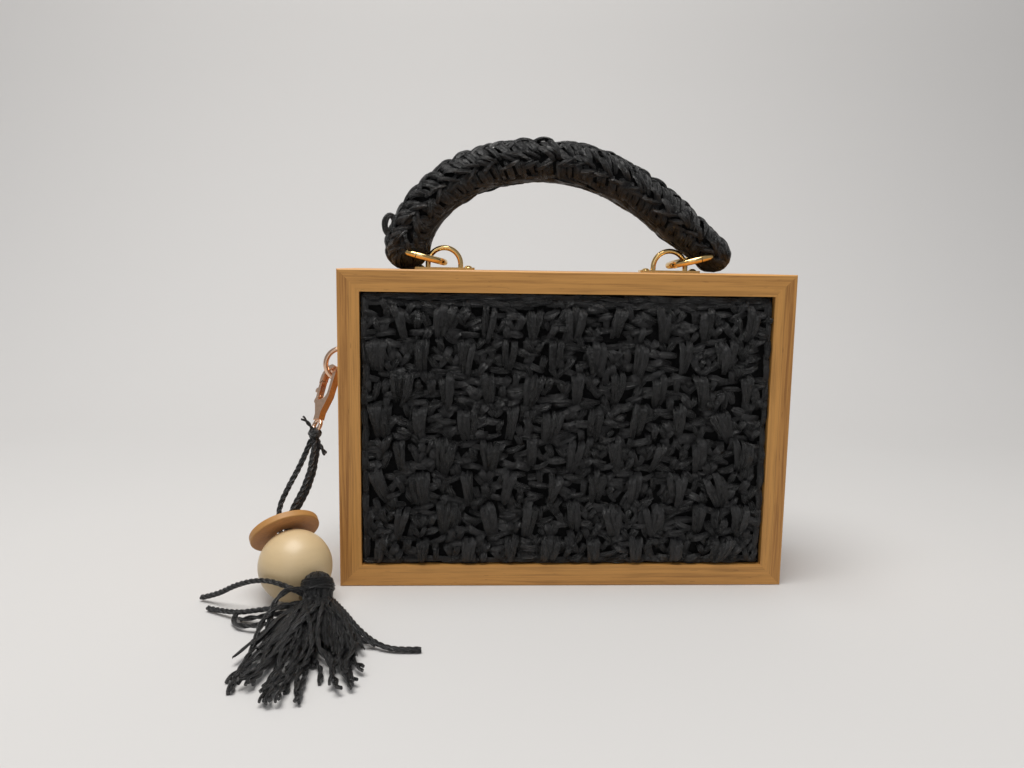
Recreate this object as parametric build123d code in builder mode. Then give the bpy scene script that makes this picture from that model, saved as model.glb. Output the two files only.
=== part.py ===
"""Basket box bag: a mitred bamboo box with crocheted raffia panels, whose back half is a hinged lid.

Millimetres. +X is to the right, +Y to the back, +Z up. The origin is the middle of the case's underside.
"""

import os
from math import cos, pi, radians, sin, tan

from build123d import *

os.makedirs("parts", exist_ok=True)

# ---------------------------------------------------------------- box
width = 200.0
height = 141.0
depth = 60.0
wall = 9.6  # thickness of the mitred boards
lid_depth = 15.0  # the lid's share of the depth
split_gap = 0.2  # between the case and the closed lid
edge_ease = 0.5  # chamfer on the outer edges
groove_depth = 3.0  # groove that holds a backing board
backing_thickness = 3.0
backing_play = 0.1  # all round the backing board in its groove
weave_thickness = 5.4
weave_inset = 0.3  # weave face, back from the boards' edges
weave_gap = 0.3  # weave to boards
seat_gap = 0.02  # between pieces that sit on each other

front_y = -depth / 2
back_y = depth / 2
split_y = back_y - lid_depth
case_back_y = split_y - split_gap / 2
lid_front_y = split_y + split_gap / 2

# ---------------------------------------------------------------- hinges
hinge_spacing = 110.0  # between the two hinges
hinge_length = 24.0
hinge_axis_z = 2.0
barrel_radius = 1.6
hinge_pin_radius = 0.8
pin_play = 0.03
leaf_reach = 12.0  # from the hinge axis to a leaf's edge
leaf_thickness = 0.8
leaf_notch = 2.3  # a leaf's edge stands this far from the axis beside the other leaf's knuckle
centre_knuckle = 8.0
knuckle_gap = 0.15
barrel_relief = 2.25  # radius cleared in the boards around the barrel
gutter = 2.5  # chamfer of the boards along the hinge line
recess_play = 0.1
hinge_screw_spacing = 14.0
hinge_screw_reach = 7.5  # from the hinge axis
hinge_screw_cover = 0.2  # wood left over a hinge screw's point, under the groove

# ---------------------------------------------------------------- closure
magnet_radius = 3.0
magnet_thickness = 2.5
magnet_play = 0.05
magnet_spacing = 120.0

# ---------------------------------------------------------------- screws
screw_radius = 1.0
screw_head_radius = 1.9
screw_sunk_depth = 0.8
screw_dome = 0.9
screw_length = 6.0
pilot_play = 0.02
plate_hole_play = 0.15

# ---------------------------------------------------------------- strap loops
hardware_centre = -2.6  # middle of the two top loops
top_loop_spacing = 104.8
side_loop_height = 96.4
plate_length = 28.0
plate_width = 8.0
plate_thickness = 1.1
plate_corner = 1.5
plate_screw_spacing = 22.0
loop_radius = 7.5  # to the middle of the wire
loop_leg = 2.5  # straight part, from the board
loop_wire = 1.2  # wire radius

# ---------------------------------------------------------------- gate rings
ring_radius = 10.5  # to the middle of the wire
ring_wire = 1.5
ring_tilt = 14.0
ring_rise = 5.9  # ring centre above the top board
gate_pin_angle = -36.0
gate_tip_angle = -104.0
gate_gap = 0.3
gate_tip_slack = 3.0  # degrees by which the tip's cut leans off its own path
knuckle_radius = 1.6
tongue_radius = 1.35
tongue_thickness = 1.0
tongue_play = 0.1
gate_pin_radius = 0.45

# ---------------------------------------------------------------- handle
handle_radius = 9.6
handle_axis_rise = 8.0  # swing axis above the top board
handle_start = 16.0  # rounded end's centre above the swing axis
handle_points = [(-63.5, None), (-55.0, 37.5), (-35.0, 49.5), (-5.0, 51.8), (24.0, 44.5), (53.0, None)]
fold_radius = 6.0
fold_length = 9.0
fold_round = 2.0

# ---------------------------------------------------------------- clasp
clasp_top_radius = 6.2
clasp_hole_radius = 3.7
clasp_thickness = 3.0
clasp_ease = 0.7
clasp_hole_length = 8.0  # between the centres of the opening's round ends
clasp_body_length = 19.5
clasp_neck = 2.3
clasp_hang = 2.6  # inner top of the clasp above the loop wire's middle
clasp_loop_angle = 225.0  # where on the side loop the clasp hangs
clasp_gate_top = -2.7
clasp_gate_foot = -12.2
clasp_gate_heel = 1.2  # lets the open gate clear the claw below it
clasp_pin_radius = 0.5
clasp_lever = 1.2
eye_reach = 25.5
eye_radius = 2.7
eye_wire = 0.95

# ---------------------------------------------------------------- charm, whose x counts from the box's left side
ball_radius = 15.5
ball_centre = (-16.2, -46.5, ball_radius)
ball_bore_axis = Vector(0.450, -0.661, -0.601)
ball_bore_radius = 3.8
disc_normal = Vector(0.38, -0.60, -0.70)
disc_radius = 15.0
disc_thickness = 3.0
disc_bore_radius = 4.6
disc_gap = 0.1
knot_radius = 3.4
knot_reach = 29.6
cord_diameter = 2.6
strand_diameter = 2.4
head_centre = (-3.3, -63.7, 7.5)
head_radius = 7.3
skirt_outline = [
    (-7.5, -70.5, 0.0),
    (-14.0, -95.0, 0.0),
    (-22.0, -126.0, 0.0),
    (-6.0, -139.0, 0.0),
    (19.0, -127.0, 0.0),
    (23.0, -98.0, 0.0),
    (2.0, -70.5, 0.0),
]
skirt_height = 8.5
skirt_slope = 38.0  # lean of the skirt's sides, in degrees

charm_cord_left_points = [
    (-14.4, -16.6, 63.8),
    (-17.8, -19.9, 54.2),
    (-23.0, -24.6, 44.6),
    (-27.0, -29.6, 35.0),
    (-24.8, -35.1, 24.9),
    (-17.3, -46.3, 14.4),
    (-10.6, -56.2, 5.4),
    (-4.6, -62.6, 5.6),
]
charm_cord_front_points = [
    (-12.4, -18.6, 64.0),
    (-14.0, -24.4, 54.6),
    (-17.6, -29.4, 45.0),
    (-21.8, -32.8, 36.2),
    (-23.7, -36.9, 27.2),
    (-16.4, -47.6, 16.6),
    (-9.6, -57.6, 7.6),
    (-4.0, -64.0, 8.4),
]
charm_cord_rear_points = [
    (-11.2, -16.1, 63.3),
    (-11.6, -20.8, 53.0),
    (-14.4, -25.6, 43.0),
    (-19.2, -29.6, 33.8),
    (-22.1, -34.9, 25.2),
    (-14.9, -45.6, 15.5),
    (-8.1, -55.5, 6.5),
    (-3.2, -61.4, 7.6),
]
stray_left_upper_points = [
    (-7.0, -66.0, 9.5),
    (-16.5, -65.5, 14.5),
    (-27.0, -62.0, 15.5),
    (-38.5, -56.0, 11.0),
    (-48.0, -50.5, 4.5),
    (-56.0, -46.5, 1.6),
]
stray_left_lower_points = [
    (-7.2, -68.3, 6.5),
    (-16.0, -72.0, 8.0),
    (-26.5, -71.0, 6.0),
    (-38.0, -65.5, 2.6),
    (-50.0, -57.5, 1.4),
]
stray_right_points = [
    (2.4, -66.6, 8.5),
    (11.0, -71.6, 9.0),
    (19.5, -79.0, 6.6),
    (29.0, -88.0, 3.0),
    (40.0, -97.0, 1.4),
]


# ================================================================ helpers
def beside_box(point):
    """A point of the charm, moved to the box's left side."""
    return Vector(*point) - Vector(width / 2, 0, 0)


def corner_radii(points, name):
    """Radius of each arc of a route: 0.45 of the shorter run, divided by the tangent of half the turn."""
    radii = []
    for before, corner, after in zip(points, points[1:], points[2:]):
        run_in = Vector(corner) - Vector(before)
        run_out = Vector(after) - Vector(corner)
        half_turn = radians(run_in.get_angle(run_out)) / 2
        radii.append(0.45 * min(run_in.length, run_out.length) / tan(half_turn))
    print(name, "radii", [round(radius, 1) for radius in radii])
    return radii


def cord_tube(points, diameter, name):
    """A round tube along straight runs joined by tangent arcs."""
    with BuildPart() as tube:
        with BuildLine() as route:
            FilletPolyline(*points, radius=corner_radii(points, name))
        path = route.wire()
        with BuildSketch(Plane(origin=path @ 0, z_dir=path % 0)):
            Circle(diameter / 2)
        sweep(path=path)
    expected = pi * diameter**2 / 4 * path.length
    print(name, "length", round(path.length, 1), "volume share", round(tube.part.volume / expected, 3))
    return tube.part


def board_plane(side, y):
    """Plane across the box at y, with its own y axis pointing out through the named side."""
    along = {"top": (1, 0, 0), "bottom": (-1, 0, 0), "left": (0, 0, 1), "right": (0, 0, -1)}[side]
    return Plane(origin=(0, y, height / 2), x_dir=along, z_dir=(0, -1, 0))


def frame_board(side, y_front, y_back, backing_y, eased_y):
    """One mitred board, with its outer edge at eased_y chamfered and a groove for the backing board."""
    reach, half_length = (height / 2, width / 2) if side in ("top", "bottom") else (width / 2, height / 2)
    across = board_plane(side, y_back)
    with BuildPart() as board:
        with BuildSketch(across):
            Polygon(
                (-half_length + wall, reach - wall),
                (half_length - wall, reach - wall),
                (half_length, reach),
                (-half_length, reach),
                align=None,
            )
        extrude(amount=y_back - y_front)
        outer = board.faces().sort_by(Axis(across.origin, across.y_dir))[-1]
        chamfer(outer.edges().sort_by(Axis.Y)[-1 if eased_y == y_back else 0], edge_ease)
        with BuildSketch(Plane.XZ.offset(-(backing_y + backing_thickness + backing_play))):
            with Locations((0, height / 2)):
                Rectangle(width - 2 * wall + 2 * groove_depth, height - 2 * wall + 2 * groove_depth)
        extrude(amount=backing_thickness + 2 * backing_play, mode=Mode.SUBTRACT)
        with BuildSketch(Plane.YZ.offset(-width / 2 - 1)):
            Polygon((split_y - gutter - 1, -1), (split_y + gutter + 1, -1), (split_y, gutter), align=None)
        extrude(amount=width + 2, mode=Mode.SUBTRACT)
    return board.part


def backing_board(y):
    """Flat board behind a woven panel, whose edges stand in the boards' grooves."""
    with BuildPart() as board:
        with BuildSketch(Plane.XZ.offset(-(y + backing_thickness))):
            with Locations((0, height / 2)):
                Rectangle(
                    width - 2 * wall + 2 * (groove_depth - backing_play),
                    height - 2 * wall + 2 * (groove_depth - backing_play),
                )
        extrude(amount=backing_thickness)
    return board.part


def woven_panel(y_back):
    """Closed solid of a crocheted panel, seated on its backing board."""
    with BuildPart() as panel:
        with BuildSketch(Plane.XZ.offset(-y_back)):
            with Locations((0, height / 2)):
                Rectangle(width - 2 * wall - 2 * weave_gap, height - 2 * wall - 2 * weave_gap)
        extrude(amount=weave_thickness)
    return panel.part


def wood_screw(plane, length, sunk):
    """Screw driven along the plane's -z, with a sunk or a domed head whose top or rim lies on the plane."""
    head = screw_sunk_depth if sunk else 0.0
    with BuildPart() as screw:
        with BuildSketch(Plane(origin=plane.origin, x_dir=plane.x_dir, z_dir=-plane.y_dir)):
            with BuildLine():
                if sunk:
                    Line((0, 0), (screw_head_radius, 0))
                    Line((screw_head_radius, 0), (screw_radius, -head))
                else:
                    ThreePointArc(
                        (0, screw_dome), (screw_head_radius * 0.72, screw_dome * 0.66), (screw_head_radius, 0)
                    )
                    Line((screw_head_radius, 0), (screw_radius, 0))
                Polyline(
                    (screw_radius, -head),
                    (screw_radius, -length + screw_radius),
                    (0, -length),
                    (0, 0 if sunk else screw_dome),
                )
            make_face()
        revolve(axis=Axis(plane.origin, plane.z_dir))
    return screw.part


def at(plane, x, y, lift=0.0):
    """The plane moved to a point given in its own x, y and z."""
    return Plane(
        origin=plane.origin + plane.x_dir * x + plane.y_dir * y + plane.z_dir * lift,
        x_dir=plane.x_dir,
        z_dir=plane.z_dir,
    )


# ================================================================ where the hardware sits
top_loop_x = [hardware_centre - top_loop_spacing / 2, hardware_centre + top_loop_spacing / 2]
top_loop_planes = [Plane(origin=(x, 0, height), x_dir=(1, 0, 0), z_dir=(0, 0, 1)) for x in top_loop_x]
left_loop_plane = Plane(origin=(-width / 2, 0, side_loop_height), x_dir=(0, 0, 1), z_dir=(-1, 0, 0))
right_loop_plane = Plane(origin=(width / 2, 0, side_loop_height), x_dir=(0, 0, -1), z_dir=(1, 0, 0))
plate_screws = [(-plate_screw_spacing / 2, 0), (plate_screw_spacing / 2, 0)]

hinge_x = [-hinge_spacing / 2, hinge_spacing / 2]
leaf_base_z = hinge_axis_z - barrel_radius
leaf_top_z = leaf_base_z + leaf_thickness
hinge_screw_length = wall - groove_depth - leaf_base_z - hinge_screw_cover
hinge_screw_x = [x + side * hinge_screw_spacing / 2 for x in hinge_x for side in (-1, 1)]
magnet_x = [-magnet_spacing / 2, magnet_spacing / 2]
magnet_z = height - wall / 2

front_backing_y = front_y + weave_inset + weave_thickness + seat_gap
back_backing_y = back_y - weave_inset - weave_thickness - seat_gap - backing_thickness


def cut_screw_pilots(planes, length):
    """Cut a pilot hole for a screw into the part being built, down from each plane."""
    with Locations(*planes):
        Hole(screw_radius + pilot_play, depth=length + pilot_play)


def cut_hinge_seats(sign, screw_y):
    """Cut the leaf recesses, the barrel reliefs and the screw pilots into a bottom board."""
    near, far = sorted((split_y, split_y + sign * (leaf_reach + recess_play)))
    for x in hinge_x:
        with BuildSketch(Plane.XY.offset(-0.5)) as recess:
            with Locations((x, (near + far) / 2)):
                Rectangle(hinge_length + 2 * recess_play, far - near)
        extrude(recess.sketch, amount=leaf_top_z + seat_gap + 0.5, mode=Mode.SUBTRACT)
        with BuildSketch(Plane.YZ.offset(x - hinge_length / 2 - recess_play)) as relief:
            with Locations((split_y, hinge_axis_z)):
                Circle(barrel_relief)
        extrude(relief.sketch, amount=hinge_length + 2 * recess_play, mode=Mode.SUBTRACT)
    cut_screw_pilots(
        [Plane(origin=(x, screw_y, leaf_base_z), z_dir=(0, 0, -1)) for x in hinge_screw_x], hinge_screw_length
    )


def cut_magnet_bores(y_mouth, sign):
    """Cut the blind magnet bores into a top board, from its face at the split."""
    for x in magnet_x:
        with BuildSketch(Plane(origin=(x, y_mouth, magnet_z), z_dir=(0, sign, 0))) as mouth:
            Circle(magnet_radius + magnet_play)
        extrude(mouth.sketch, amount=magnet_thickness + seat_gap, mode=Mode.SUBTRACT)


# ================================================================ case: boards and panel
with BuildPart() as case_top_board:
    add(frame_board("top", front_y, case_back_y, front_backing_y, front_y))
    cut_screw_pilots([at(plane, x, y) for plane in top_loop_planes for x, y in plate_screws], screw_length)
    cut_magnet_bores(case_back_y, -1)
case_top_board.part.label = "case_top_board"
export_step(case_top_board.part, "parts/case_top_board.step")

with BuildPart() as case_bottom_board:
    add(frame_board("bottom", front_y, case_back_y, front_backing_y, front_y))
    cut_hinge_seats(-1, split_y - hinge_screw_reach)
case_bottom_board.part.label = "case_bottom_board"
export_step(case_bottom_board.part, "parts/case_bottom_board.step")

with BuildPart() as case_left_board:
    add(frame_board("left", front_y, case_back_y, front_backing_y, front_y))
    cut_screw_pilots([at(left_loop_plane, x, y) for x, y in plate_screws], screw_length)
case_left_board.part.label = "case_left_board"
export_step(case_left_board.part, "parts/case_left_board.step")

with BuildPart() as case_right_board:
    add(frame_board("right", front_y, case_back_y, front_backing_y, front_y))
    cut_screw_pilots([at(right_loop_plane, x, y) for x, y in plate_screws], screw_length)
case_right_board.part.label = "case_right_board"
export_step(case_right_board.part, "parts/case_right_board.step")

with BuildPart() as front_backing_board:
    add(backing_board(front_backing_y))
front_backing_board.part.label = "front_backing_board"
export_step(front_backing_board.part, "parts/front_backing_board.step")

with BuildPart() as front_weave:
    add(woven_panel(front_backing_y - seat_gap))
front_weave.part.label = "front_weave"
export_step(front_weave.part, "parts/front_weave.step")

# ================================================================ lid: boards and panel
with BuildPart() as lid_top_rail:
    add(frame_board("top", lid_front_y, back_y, back_backing_y, back_y))
    cut_magnet_bores(lid_front_y, 1)
lid_top_rail.part.label = "lid_top_rail"
export_step(lid_top_rail.part, "parts/lid_top_rail.step")

with BuildPart() as lid_bottom_rail:
    add(frame_board("bottom", lid_front_y, back_y, back_backing_y, back_y))
    cut_hinge_seats(1, split_y + hinge_screw_reach)
lid_bottom_rail.part.label = "lid_bottom_rail"
export_step(lid_bottom_rail.part, "parts/lid_bottom_rail.step")

with BuildPart() as lid_left_stile:
    add(frame_board("left", lid_front_y, back_y, back_backing_y, back_y))
lid_left_stile.part.label = "lid_left_stile"
export_step(lid_left_stile.part, "parts/lid_left_stile.step")

with BuildPart() as lid_right_stile:
    add(frame_board("right", lid_front_y, back_y, back_backing_y, back_y))
lid_right_stile.part.label = "lid_right_stile"
export_step(lid_right_stile.part, "parts/lid_right_stile.step")

with BuildPart() as back_backing_board:
    add(backing_board(back_backing_y))
back_backing_board.part.label = "back_backing_board"
export_step(back_backing_board.part, "parts/back_backing_board.step")

with BuildPart() as back_weave:
    add(woven_panel(back_y - weave_inset))
back_weave.part.label = "back_weave"
export_step(back_weave.part, "parts/back_weave.step")


# ================================================================ hinges
def hinge_leaf(x, sign):
    """A leaf with its knuckles: the case's (sign -1) has the two outer ones, the lid's the centre one."""
    outer = sign < 0
    with BuildPart() as leaf:
        with BuildSketch(Plane.XY.offset(leaf_base_z)):
            with Locations((x, split_y + sign * leaf_reach / 2)):
                Rectangle(hinge_length, leaf_reach)
            notches = [(0, centre_knuckle)] if outer else [
                (side * (hinge_length + centre_knuckle) / 4, (hinge_length - centre_knuckle) / 2)
                for side in (-1, 1)
            ]
            for offset, length in notches:
                with Locations((x + offset, split_y + sign * leaf_notch / 2)):
                    Rectangle(length + 2 * knuckle_gap, leaf_notch, mode=Mode.SUBTRACT)
        extrude(amount=leaf_thickness)
        side_knuckle = (hinge_length - centre_knuckle) / 2 - knuckle_gap
        spans = [(-hinge_length / 2, side_knuckle), (hinge_length / 2 - side_knuckle, side_knuckle)]
        for start, length in spans if outer else [(-centre_knuckle / 2 + knuckle_gap / 2,
                                                   centre_knuckle - knuckle_gap)]:
            with BuildSketch(Plane.YZ.offset(x + start)):
                with Locations((split_y, hinge_axis_z)):
                    Circle(barrel_radius)
            extrude(amount=length)
        with BuildSketch(Plane.YZ.offset(x - hinge_length / 2)):
            with Locations((split_y, hinge_axis_z)):
                Circle(hinge_pin_radius + pin_play)
        extrude(amount=hinge_length, mode=Mode.SUBTRACT)
        for side in (-1, 1):
            hole = Plane(
                origin=(x + side * hinge_screw_spacing / 2, split_y + sign * hinge_screw_reach, leaf_base_z),
                z_dir=(0, 0, -1),
            )
            with BuildSketch(hole):
                Circle(screw_head_radius + pilot_play)
            with BuildSketch(hole.offset(-screw_sunk_depth)):
                Circle(screw_radius + pilot_play)
            loft(mode=Mode.SUBTRACT)
    return leaf.part


def hinge_pin(x):
    """The pin through all three knuckles."""
    with BuildPart() as pin:
        with BuildSketch(Plane.YZ.offset(x - hinge_length / 2)):
            with Locations((split_y, hinge_axis_z)):
                Circle(hinge_pin_radius)
        extrude(amount=hinge_length)
    return pin.part


for place, x in zip(("left", "right"), hinge_x):
    with BuildPart() as hinge_leaf_case:
        add(hinge_leaf(x, -1))
    hinge_leaf_case.part.label = f"hinge_leaf_case_{place}"
    export_step(hinge_leaf_case.part, f"parts/hinge_leaf_case_{place}.step")

    with BuildPart() as hinge_leaf_lid:
        add(hinge_leaf(x, 1))
    hinge_leaf_lid.part.label = f"hinge_leaf_lid_{place}"
    export_step(hinge_leaf_lid.part, f"parts/hinge_leaf_lid_{place}.step")

    with BuildPart() as hinge_pin_solid:
        add(hinge_pin(x))
    hinge_pin_solid.part.label = f"hinge_pin_{place}"
    export_step(hinge_pin_solid.part, f"parts/hinge_pin_{place}.step")

for owner, sign in (("case", -1), ("lid", 1)):
    with BuildPart() as hinge_screws:
        for x in hinge_screw_x:
            place = Plane(origin=(x, split_y + sign * hinge_screw_reach, leaf_base_z), z_dir=(0, 0, -1))
            add(wood_screw(place, hinge_screw_length, sunk=True))
    hinge_screws.part.label = f"hinge_screws_{owner}"
    export_step(hinge_screws.part, f"parts/hinge_screws_{owner}.step")

# ================================================================ closure magnets
for owner, mouth, sign in (("case", case_back_y, -1), ("lid", lid_front_y, 1)):
    with BuildPart() as magnets:
        for x in magnet_x:
            with BuildSketch(Plane(origin=(x, mouth, magnet_z), z_dir=(0, sign, 0))):
                Circle(magnet_radius)
            extrude(amount=magnet_thickness)
    magnets.part.label = f"{owner}_magnets"
    export_step(magnets.part, f"parts/{owner}_magnets.step")


# ================================================================ strap loops
def strap_loop(plane):
    """An arch of round wire on a flat plate with two screw holes."""
    upright = Plane(origin=plane.origin, x_dir=plane.x_dir, z_dir=-plane.y_dir)
    with BuildPart() as loop:
        with BuildSketch(plane):
            RectangleRounded(plate_length, plate_width, plate_corner)
        extrude(amount=plate_thickness)
        with BuildLine(upright) as wire:
            Line((loop_radius, plate_thickness / 2), (loop_radius, loop_leg))
            CenterArc((0, loop_leg), loop_radius, 0, 180)
            Line((-loop_radius, loop_leg), (-loop_radius, plate_thickness / 2))
        with BuildSketch(Plane(origin=wire.line @ 0, z_dir=wire.line % 0)):
            Circle(loop_wire)
        sweep(path=wire.line)
        with Locations(*[at(plane, x, y, plate_thickness) for x, y in plate_screws]):
            Hole(screw_radius + plate_hole_play, depth=plate_thickness)
    return loop.part


loop_planes = {
    "top_left": top_loop_planes[0],
    "top_right": top_loop_planes[1],
    "side_left": left_loop_plane,
    "side_right": right_loop_plane,
}
for place, plane in loop_planes.items():
    with BuildPart() as strap_loop_solid:
        add(strap_loop(plane))
    strap_loop_solid.part.label = f"strap_loop_{place}"
    export_step(strap_loop_solid.part, f"parts/strap_loop_{place}.step")

with BuildPart() as strap_loop_screws:
    for plane in loop_planes.values():
        for x, y in plate_screws:
            add(wood_screw(at(plane, x, y, plate_thickness), screw_length, sunk=False))
strap_loop_screws.part.label = "strap_loop_screws"
export_step(strap_loop_screws.part, "parts/strap_loop_screws.step")

# ================================================================ gate rings
ring_centre_x = top_loop_x[0] - ring_radius * cos(radians(ring_tilt))
ring_plane = Plane(
    origin=(ring_centre_x, 0, height + ring_rise),
    x_dir=(cos(radians(ring_tilt)), 0, -sin(radians(ring_tilt))),
    z_dir=(sin(radians(ring_tilt)), 0, cos(radians(ring_tilt))),
)
gate_pin_at = (
    ring_radius * cos(radians(gate_pin_angle)),
    ring_radius * sin(radians(gate_pin_angle)),
)
gate_tip_at = (
    ring_radius * cos(radians(gate_tip_angle)),
    ring_radius * sin(radians(gate_tip_angle)),
)
gate_pin_plane = at(ring_plane, *gate_pin_at)


def gate_sector(slack):
    """Outline, in the ring's plane, of the gate's share of the ring, widened at the tip by slack."""
    reach = Vector(gate_tip_at[0] - gate_pin_at[0], gate_tip_at[1] - gate_pin_at[1])
    lean = reach.rotate(Axis.Z, -90 - gate_tip_slack).normalized()
    along = reach.normalized() * slack
    tip = Vector(*gate_tip_at) + along
    inner, outer = tip + lean * 4, tip - lean * 4
    pin = Vector(*gate_pin_at)
    inward, outward = pin * ((ring_radius - 4) / ring_radius), pin * ((ring_radius + 4) / ring_radius)
    far = (inward + outward + inner + outer) * 0.25
    far = far.normalized() * (ring_radius + 8)
    points = (inward, inner, outer, far, outward)
    return [(point.X, point.Y) for point in points]


def ring_torus():
    """The whole ring's round wire."""
    with BuildPart() as torus:
        with BuildSketch(Plane(origin=ring_plane.origin, x_dir=ring_plane.x_dir, z_dir=-ring_plane.y_dir)):
            with Locations((ring_radius, 0)):
                Circle(ring_wire)
        revolve(axis=Axis(ring_plane.origin, ring_plane.z_dir))
    return torus.part


def disc_on_pin(radius, thickness, mode):
    """A round disc about the gate's pin, centred on the ring's plane."""
    with BuildSketch(gate_pin_plane) as disc:
        Circle(radius)
    extrude(disc.sketch, amount=thickness / 2, both=True, mode=mode)


with BuildPart() as ring_left:
    add(ring_torus())
    with BuildSketch(ring_plane):
        Polygon(*gate_sector(gate_gap), align=None)
    extrude(amount=ring_wire * 2, both=True, mode=Mode.SUBTRACT)
    disc_on_pin(knuckle_radius, 2 * ring_wire, Mode.ADD)
    disc_on_pin(knuckle_radius + gate_gap + tongue_play, tongue_thickness + 2 * tongue_play, Mode.SUBTRACT)
    disc_on_pin(gate_pin_radius + pin_play, 2 * ring_wire + 1, Mode.SUBTRACT)

with BuildPart() as gate_tongue:
    add(ring_torus())
    with BuildSketch(ring_plane):
        Polygon(*gate_sector(0.0), align=None)
    extrude(amount=tongue_thickness / 2, both=True, mode=Mode.INTERSECT)
    with BuildSketch(gate_pin_plane):
        Circle(knuckle_radius + gate_gap + tongue_play + 0.2)
    extrude(amount=ring_wire, both=True, mode=Mode.INTERSECT)
    disc_on_pin(tongue_radius, tongue_thickness, Mode.ADD)

with BuildPart() as ring_gate_left:
    add(ring_torus())
    with BuildSketch(ring_plane):
        Polygon(*gate_sector(0.0), align=None)
    extrude(amount=ring_wire * 2, both=True, mode=Mode.INTERSECT)
    disc_on_pin(knuckle_radius + gate_gap, 4 * ring_wire, Mode.SUBTRACT)
    add(gate_tongue.part)
    disc_on_pin(gate_pin_radius + pin_play, 2 * ring_wire + 1, Mode.SUBTRACT)

with BuildPart() as ring_pin_left:
    disc_on_pin(gate_pin_radius, 2 * ring_wire, Mode.ADD)

# ================================================================ handle and its folded ends
handle_axis_z = height + handle_axis_rise
fold_x = ring_centre_x - ring_radius * cos(radians(ring_tilt))

with BuildPart() as handle_fold_left:
    with BuildSketch(Plane.YZ.offset(fold_x - fold_length / 2)):
        with Locations((0, handle_axis_z)):
            Circle(fold_radius)
    extrude(amount=fold_length)
    fillet(handle_fold_left.edges().filter_by(GeomType.CIRCLE), fold_round)

left_solids = {
    "ring": ring_left,
    "ring_gate": ring_gate_left,
    "ring_pin": ring_pin_left,
    "handle_fold": handle_fold_left,
}
for name, left_solid in left_solids.items():
    left_solid.part.label = f"{name}_left"
    export_step(left_solid.part, f"parts/{name}_left.step")

    with BuildPart() as right_solid:
        add(mirror(left_solid.part, about=Plane.YZ.offset(hardware_centre), mode=Mode.PRIVATE))
    right_solid.part.label = f"{name}_right"
    export_step(right_solid.part, f"parts/{name}_right.step")

handle_start_rise = handle_axis_rise + handle_start
handle_route = [
    (x, 0, height + (handle_start_rise if rise is None else rise)) for x, rise in handle_points
]
with BuildPart() as handle:
    add(cord_tube(handle_route, 2 * handle_radius, "handle"))
    with Locations(handle_route[0], handle_route[-1]):
        Sphere(handle_radius)
handle.part.label = "handle"
export_step(handle.part, "parts/handle.step")

# ================================================================ clasp
clasp_angle = radians(clasp_loop_angle)
clasp_pivot = Vector(
    -width / 2 - loop_leg + loop_radius * cos(clasp_angle),
    0,
    side_loop_height + loop_radius * sin(clasp_angle),
)
clasp_down = Vector(-0.167, -0.531, -0.831).normalized()
clasp_normal = Vector(0.718, 0.512, -0.471).normalized()
clasp_plane = Plane(
    origin=clasp_pivot, x_dir=(-clasp_down).cross(clasp_normal), z_dir=clasp_normal
)
clasp_arc_y = clasp_hang - clasp_hole_radius
clasp_gate_pin = (
    (clasp_hole_radius + clasp_top_radius) / 2 - 0.4,
    clasp_gate_foot,
)


def clasp_outline():
    """Outer outline of the claw, from its round top to its narrow neck."""
    with BuildSketch(clasp_plane) as outline:
        with Locations((0, clasp_arc_y)):
            Circle(clasp_top_radius)
        with BuildLine():
            Polyline(
                (-clasp_top_radius, clasp_arc_y),
                (-clasp_top_radius + 0.6, clasp_gate_foot),
                (-clasp_neck, -clasp_body_length),
                (-clasp_neck, -eye_reach + eye_radius),
                (clasp_neck, -eye_reach + eye_radius),
                (clasp_neck, -clasp_body_length),
                (clasp_top_radius - 0.6, clasp_gate_foot),
                (clasp_top_radius, clasp_arc_y),
                close=True,
            )
        make_face()
        with Locations((0, clasp_arc_y - clasp_hole_length / 2)):
            SlotCenterToCenter(clasp_hole_length, 2 * clasp_hole_radius, rotation=90, mode=Mode.SUBTRACT)
    return outline.sketch


def gate_window(gap, heel_rise):
    """Outline of the claw's share that the gate takes, widened by gap, with its inner corner raised."""
    with BuildSketch(clasp_plane) as window:
        with BuildLine():
            Polyline(
                (1.6, clasp_gate_top + 1.0 + gap),
                (9.0, clasp_gate_top - 2.2 + gap),
                (9.0, clasp_gate_foot - gap),
                (clasp_gate_pin[0], clasp_gate_foot - gap),
                (1.6, clasp_gate_foot + heel_rise - gap),
                close=True,
            )
        make_face()
    return window.sketch


def clasp_disc(radius, thickness, mode):
    """A round disc about the clasp gate's pin, centred on the clasp's plane."""
    with BuildSketch(at(clasp_plane, *clasp_gate_pin)) as disc:
        Circle(radius)
    extrude(disc.sketch, amount=thickness / 2, both=True, mode=mode)


with BuildPart() as clasp_body:
    extrude(clasp_outline(), amount=clasp_thickness / 2, both=True)
    extrude(gate_window(gate_gap, 0.0), amount=clasp_thickness, both=True, mode=Mode.SUBTRACT)
    clasp_disc(knuckle_radius, clasp_thickness, Mode.ADD)
    clasp_disc(knuckle_radius + gate_gap + tongue_play, tongue_thickness + 2 * tongue_play, Mode.SUBTRACT)
    clasp_disc(clasp_pin_radius + pin_play, clasp_thickness + 1, Mode.SUBTRACT)
    with BuildSketch(
        Plane(origin=at(clasp_plane, 0, -eye_reach).origin, x_dir=clasp_plane.x_dir, z_dir=clasp_plane.y_dir)
    ):
        with Locations((eye_radius, 0)):
            Circle(eye_wire)
    revolve(axis=Axis(at(clasp_plane, 0, -eye_reach).origin, clasp_plane.z_dir))
    with BuildSketch(at(clasp_plane, 0, -eye_reach)):
        Circle(eye_radius - eye_wire)
    extrude(amount=clasp_thickness, both=True, mode=Mode.SUBTRACT)
clasp_body.part.label = "clasp_body"
export_step(clasp_body.part, "parts/clasp_body.step")

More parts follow.
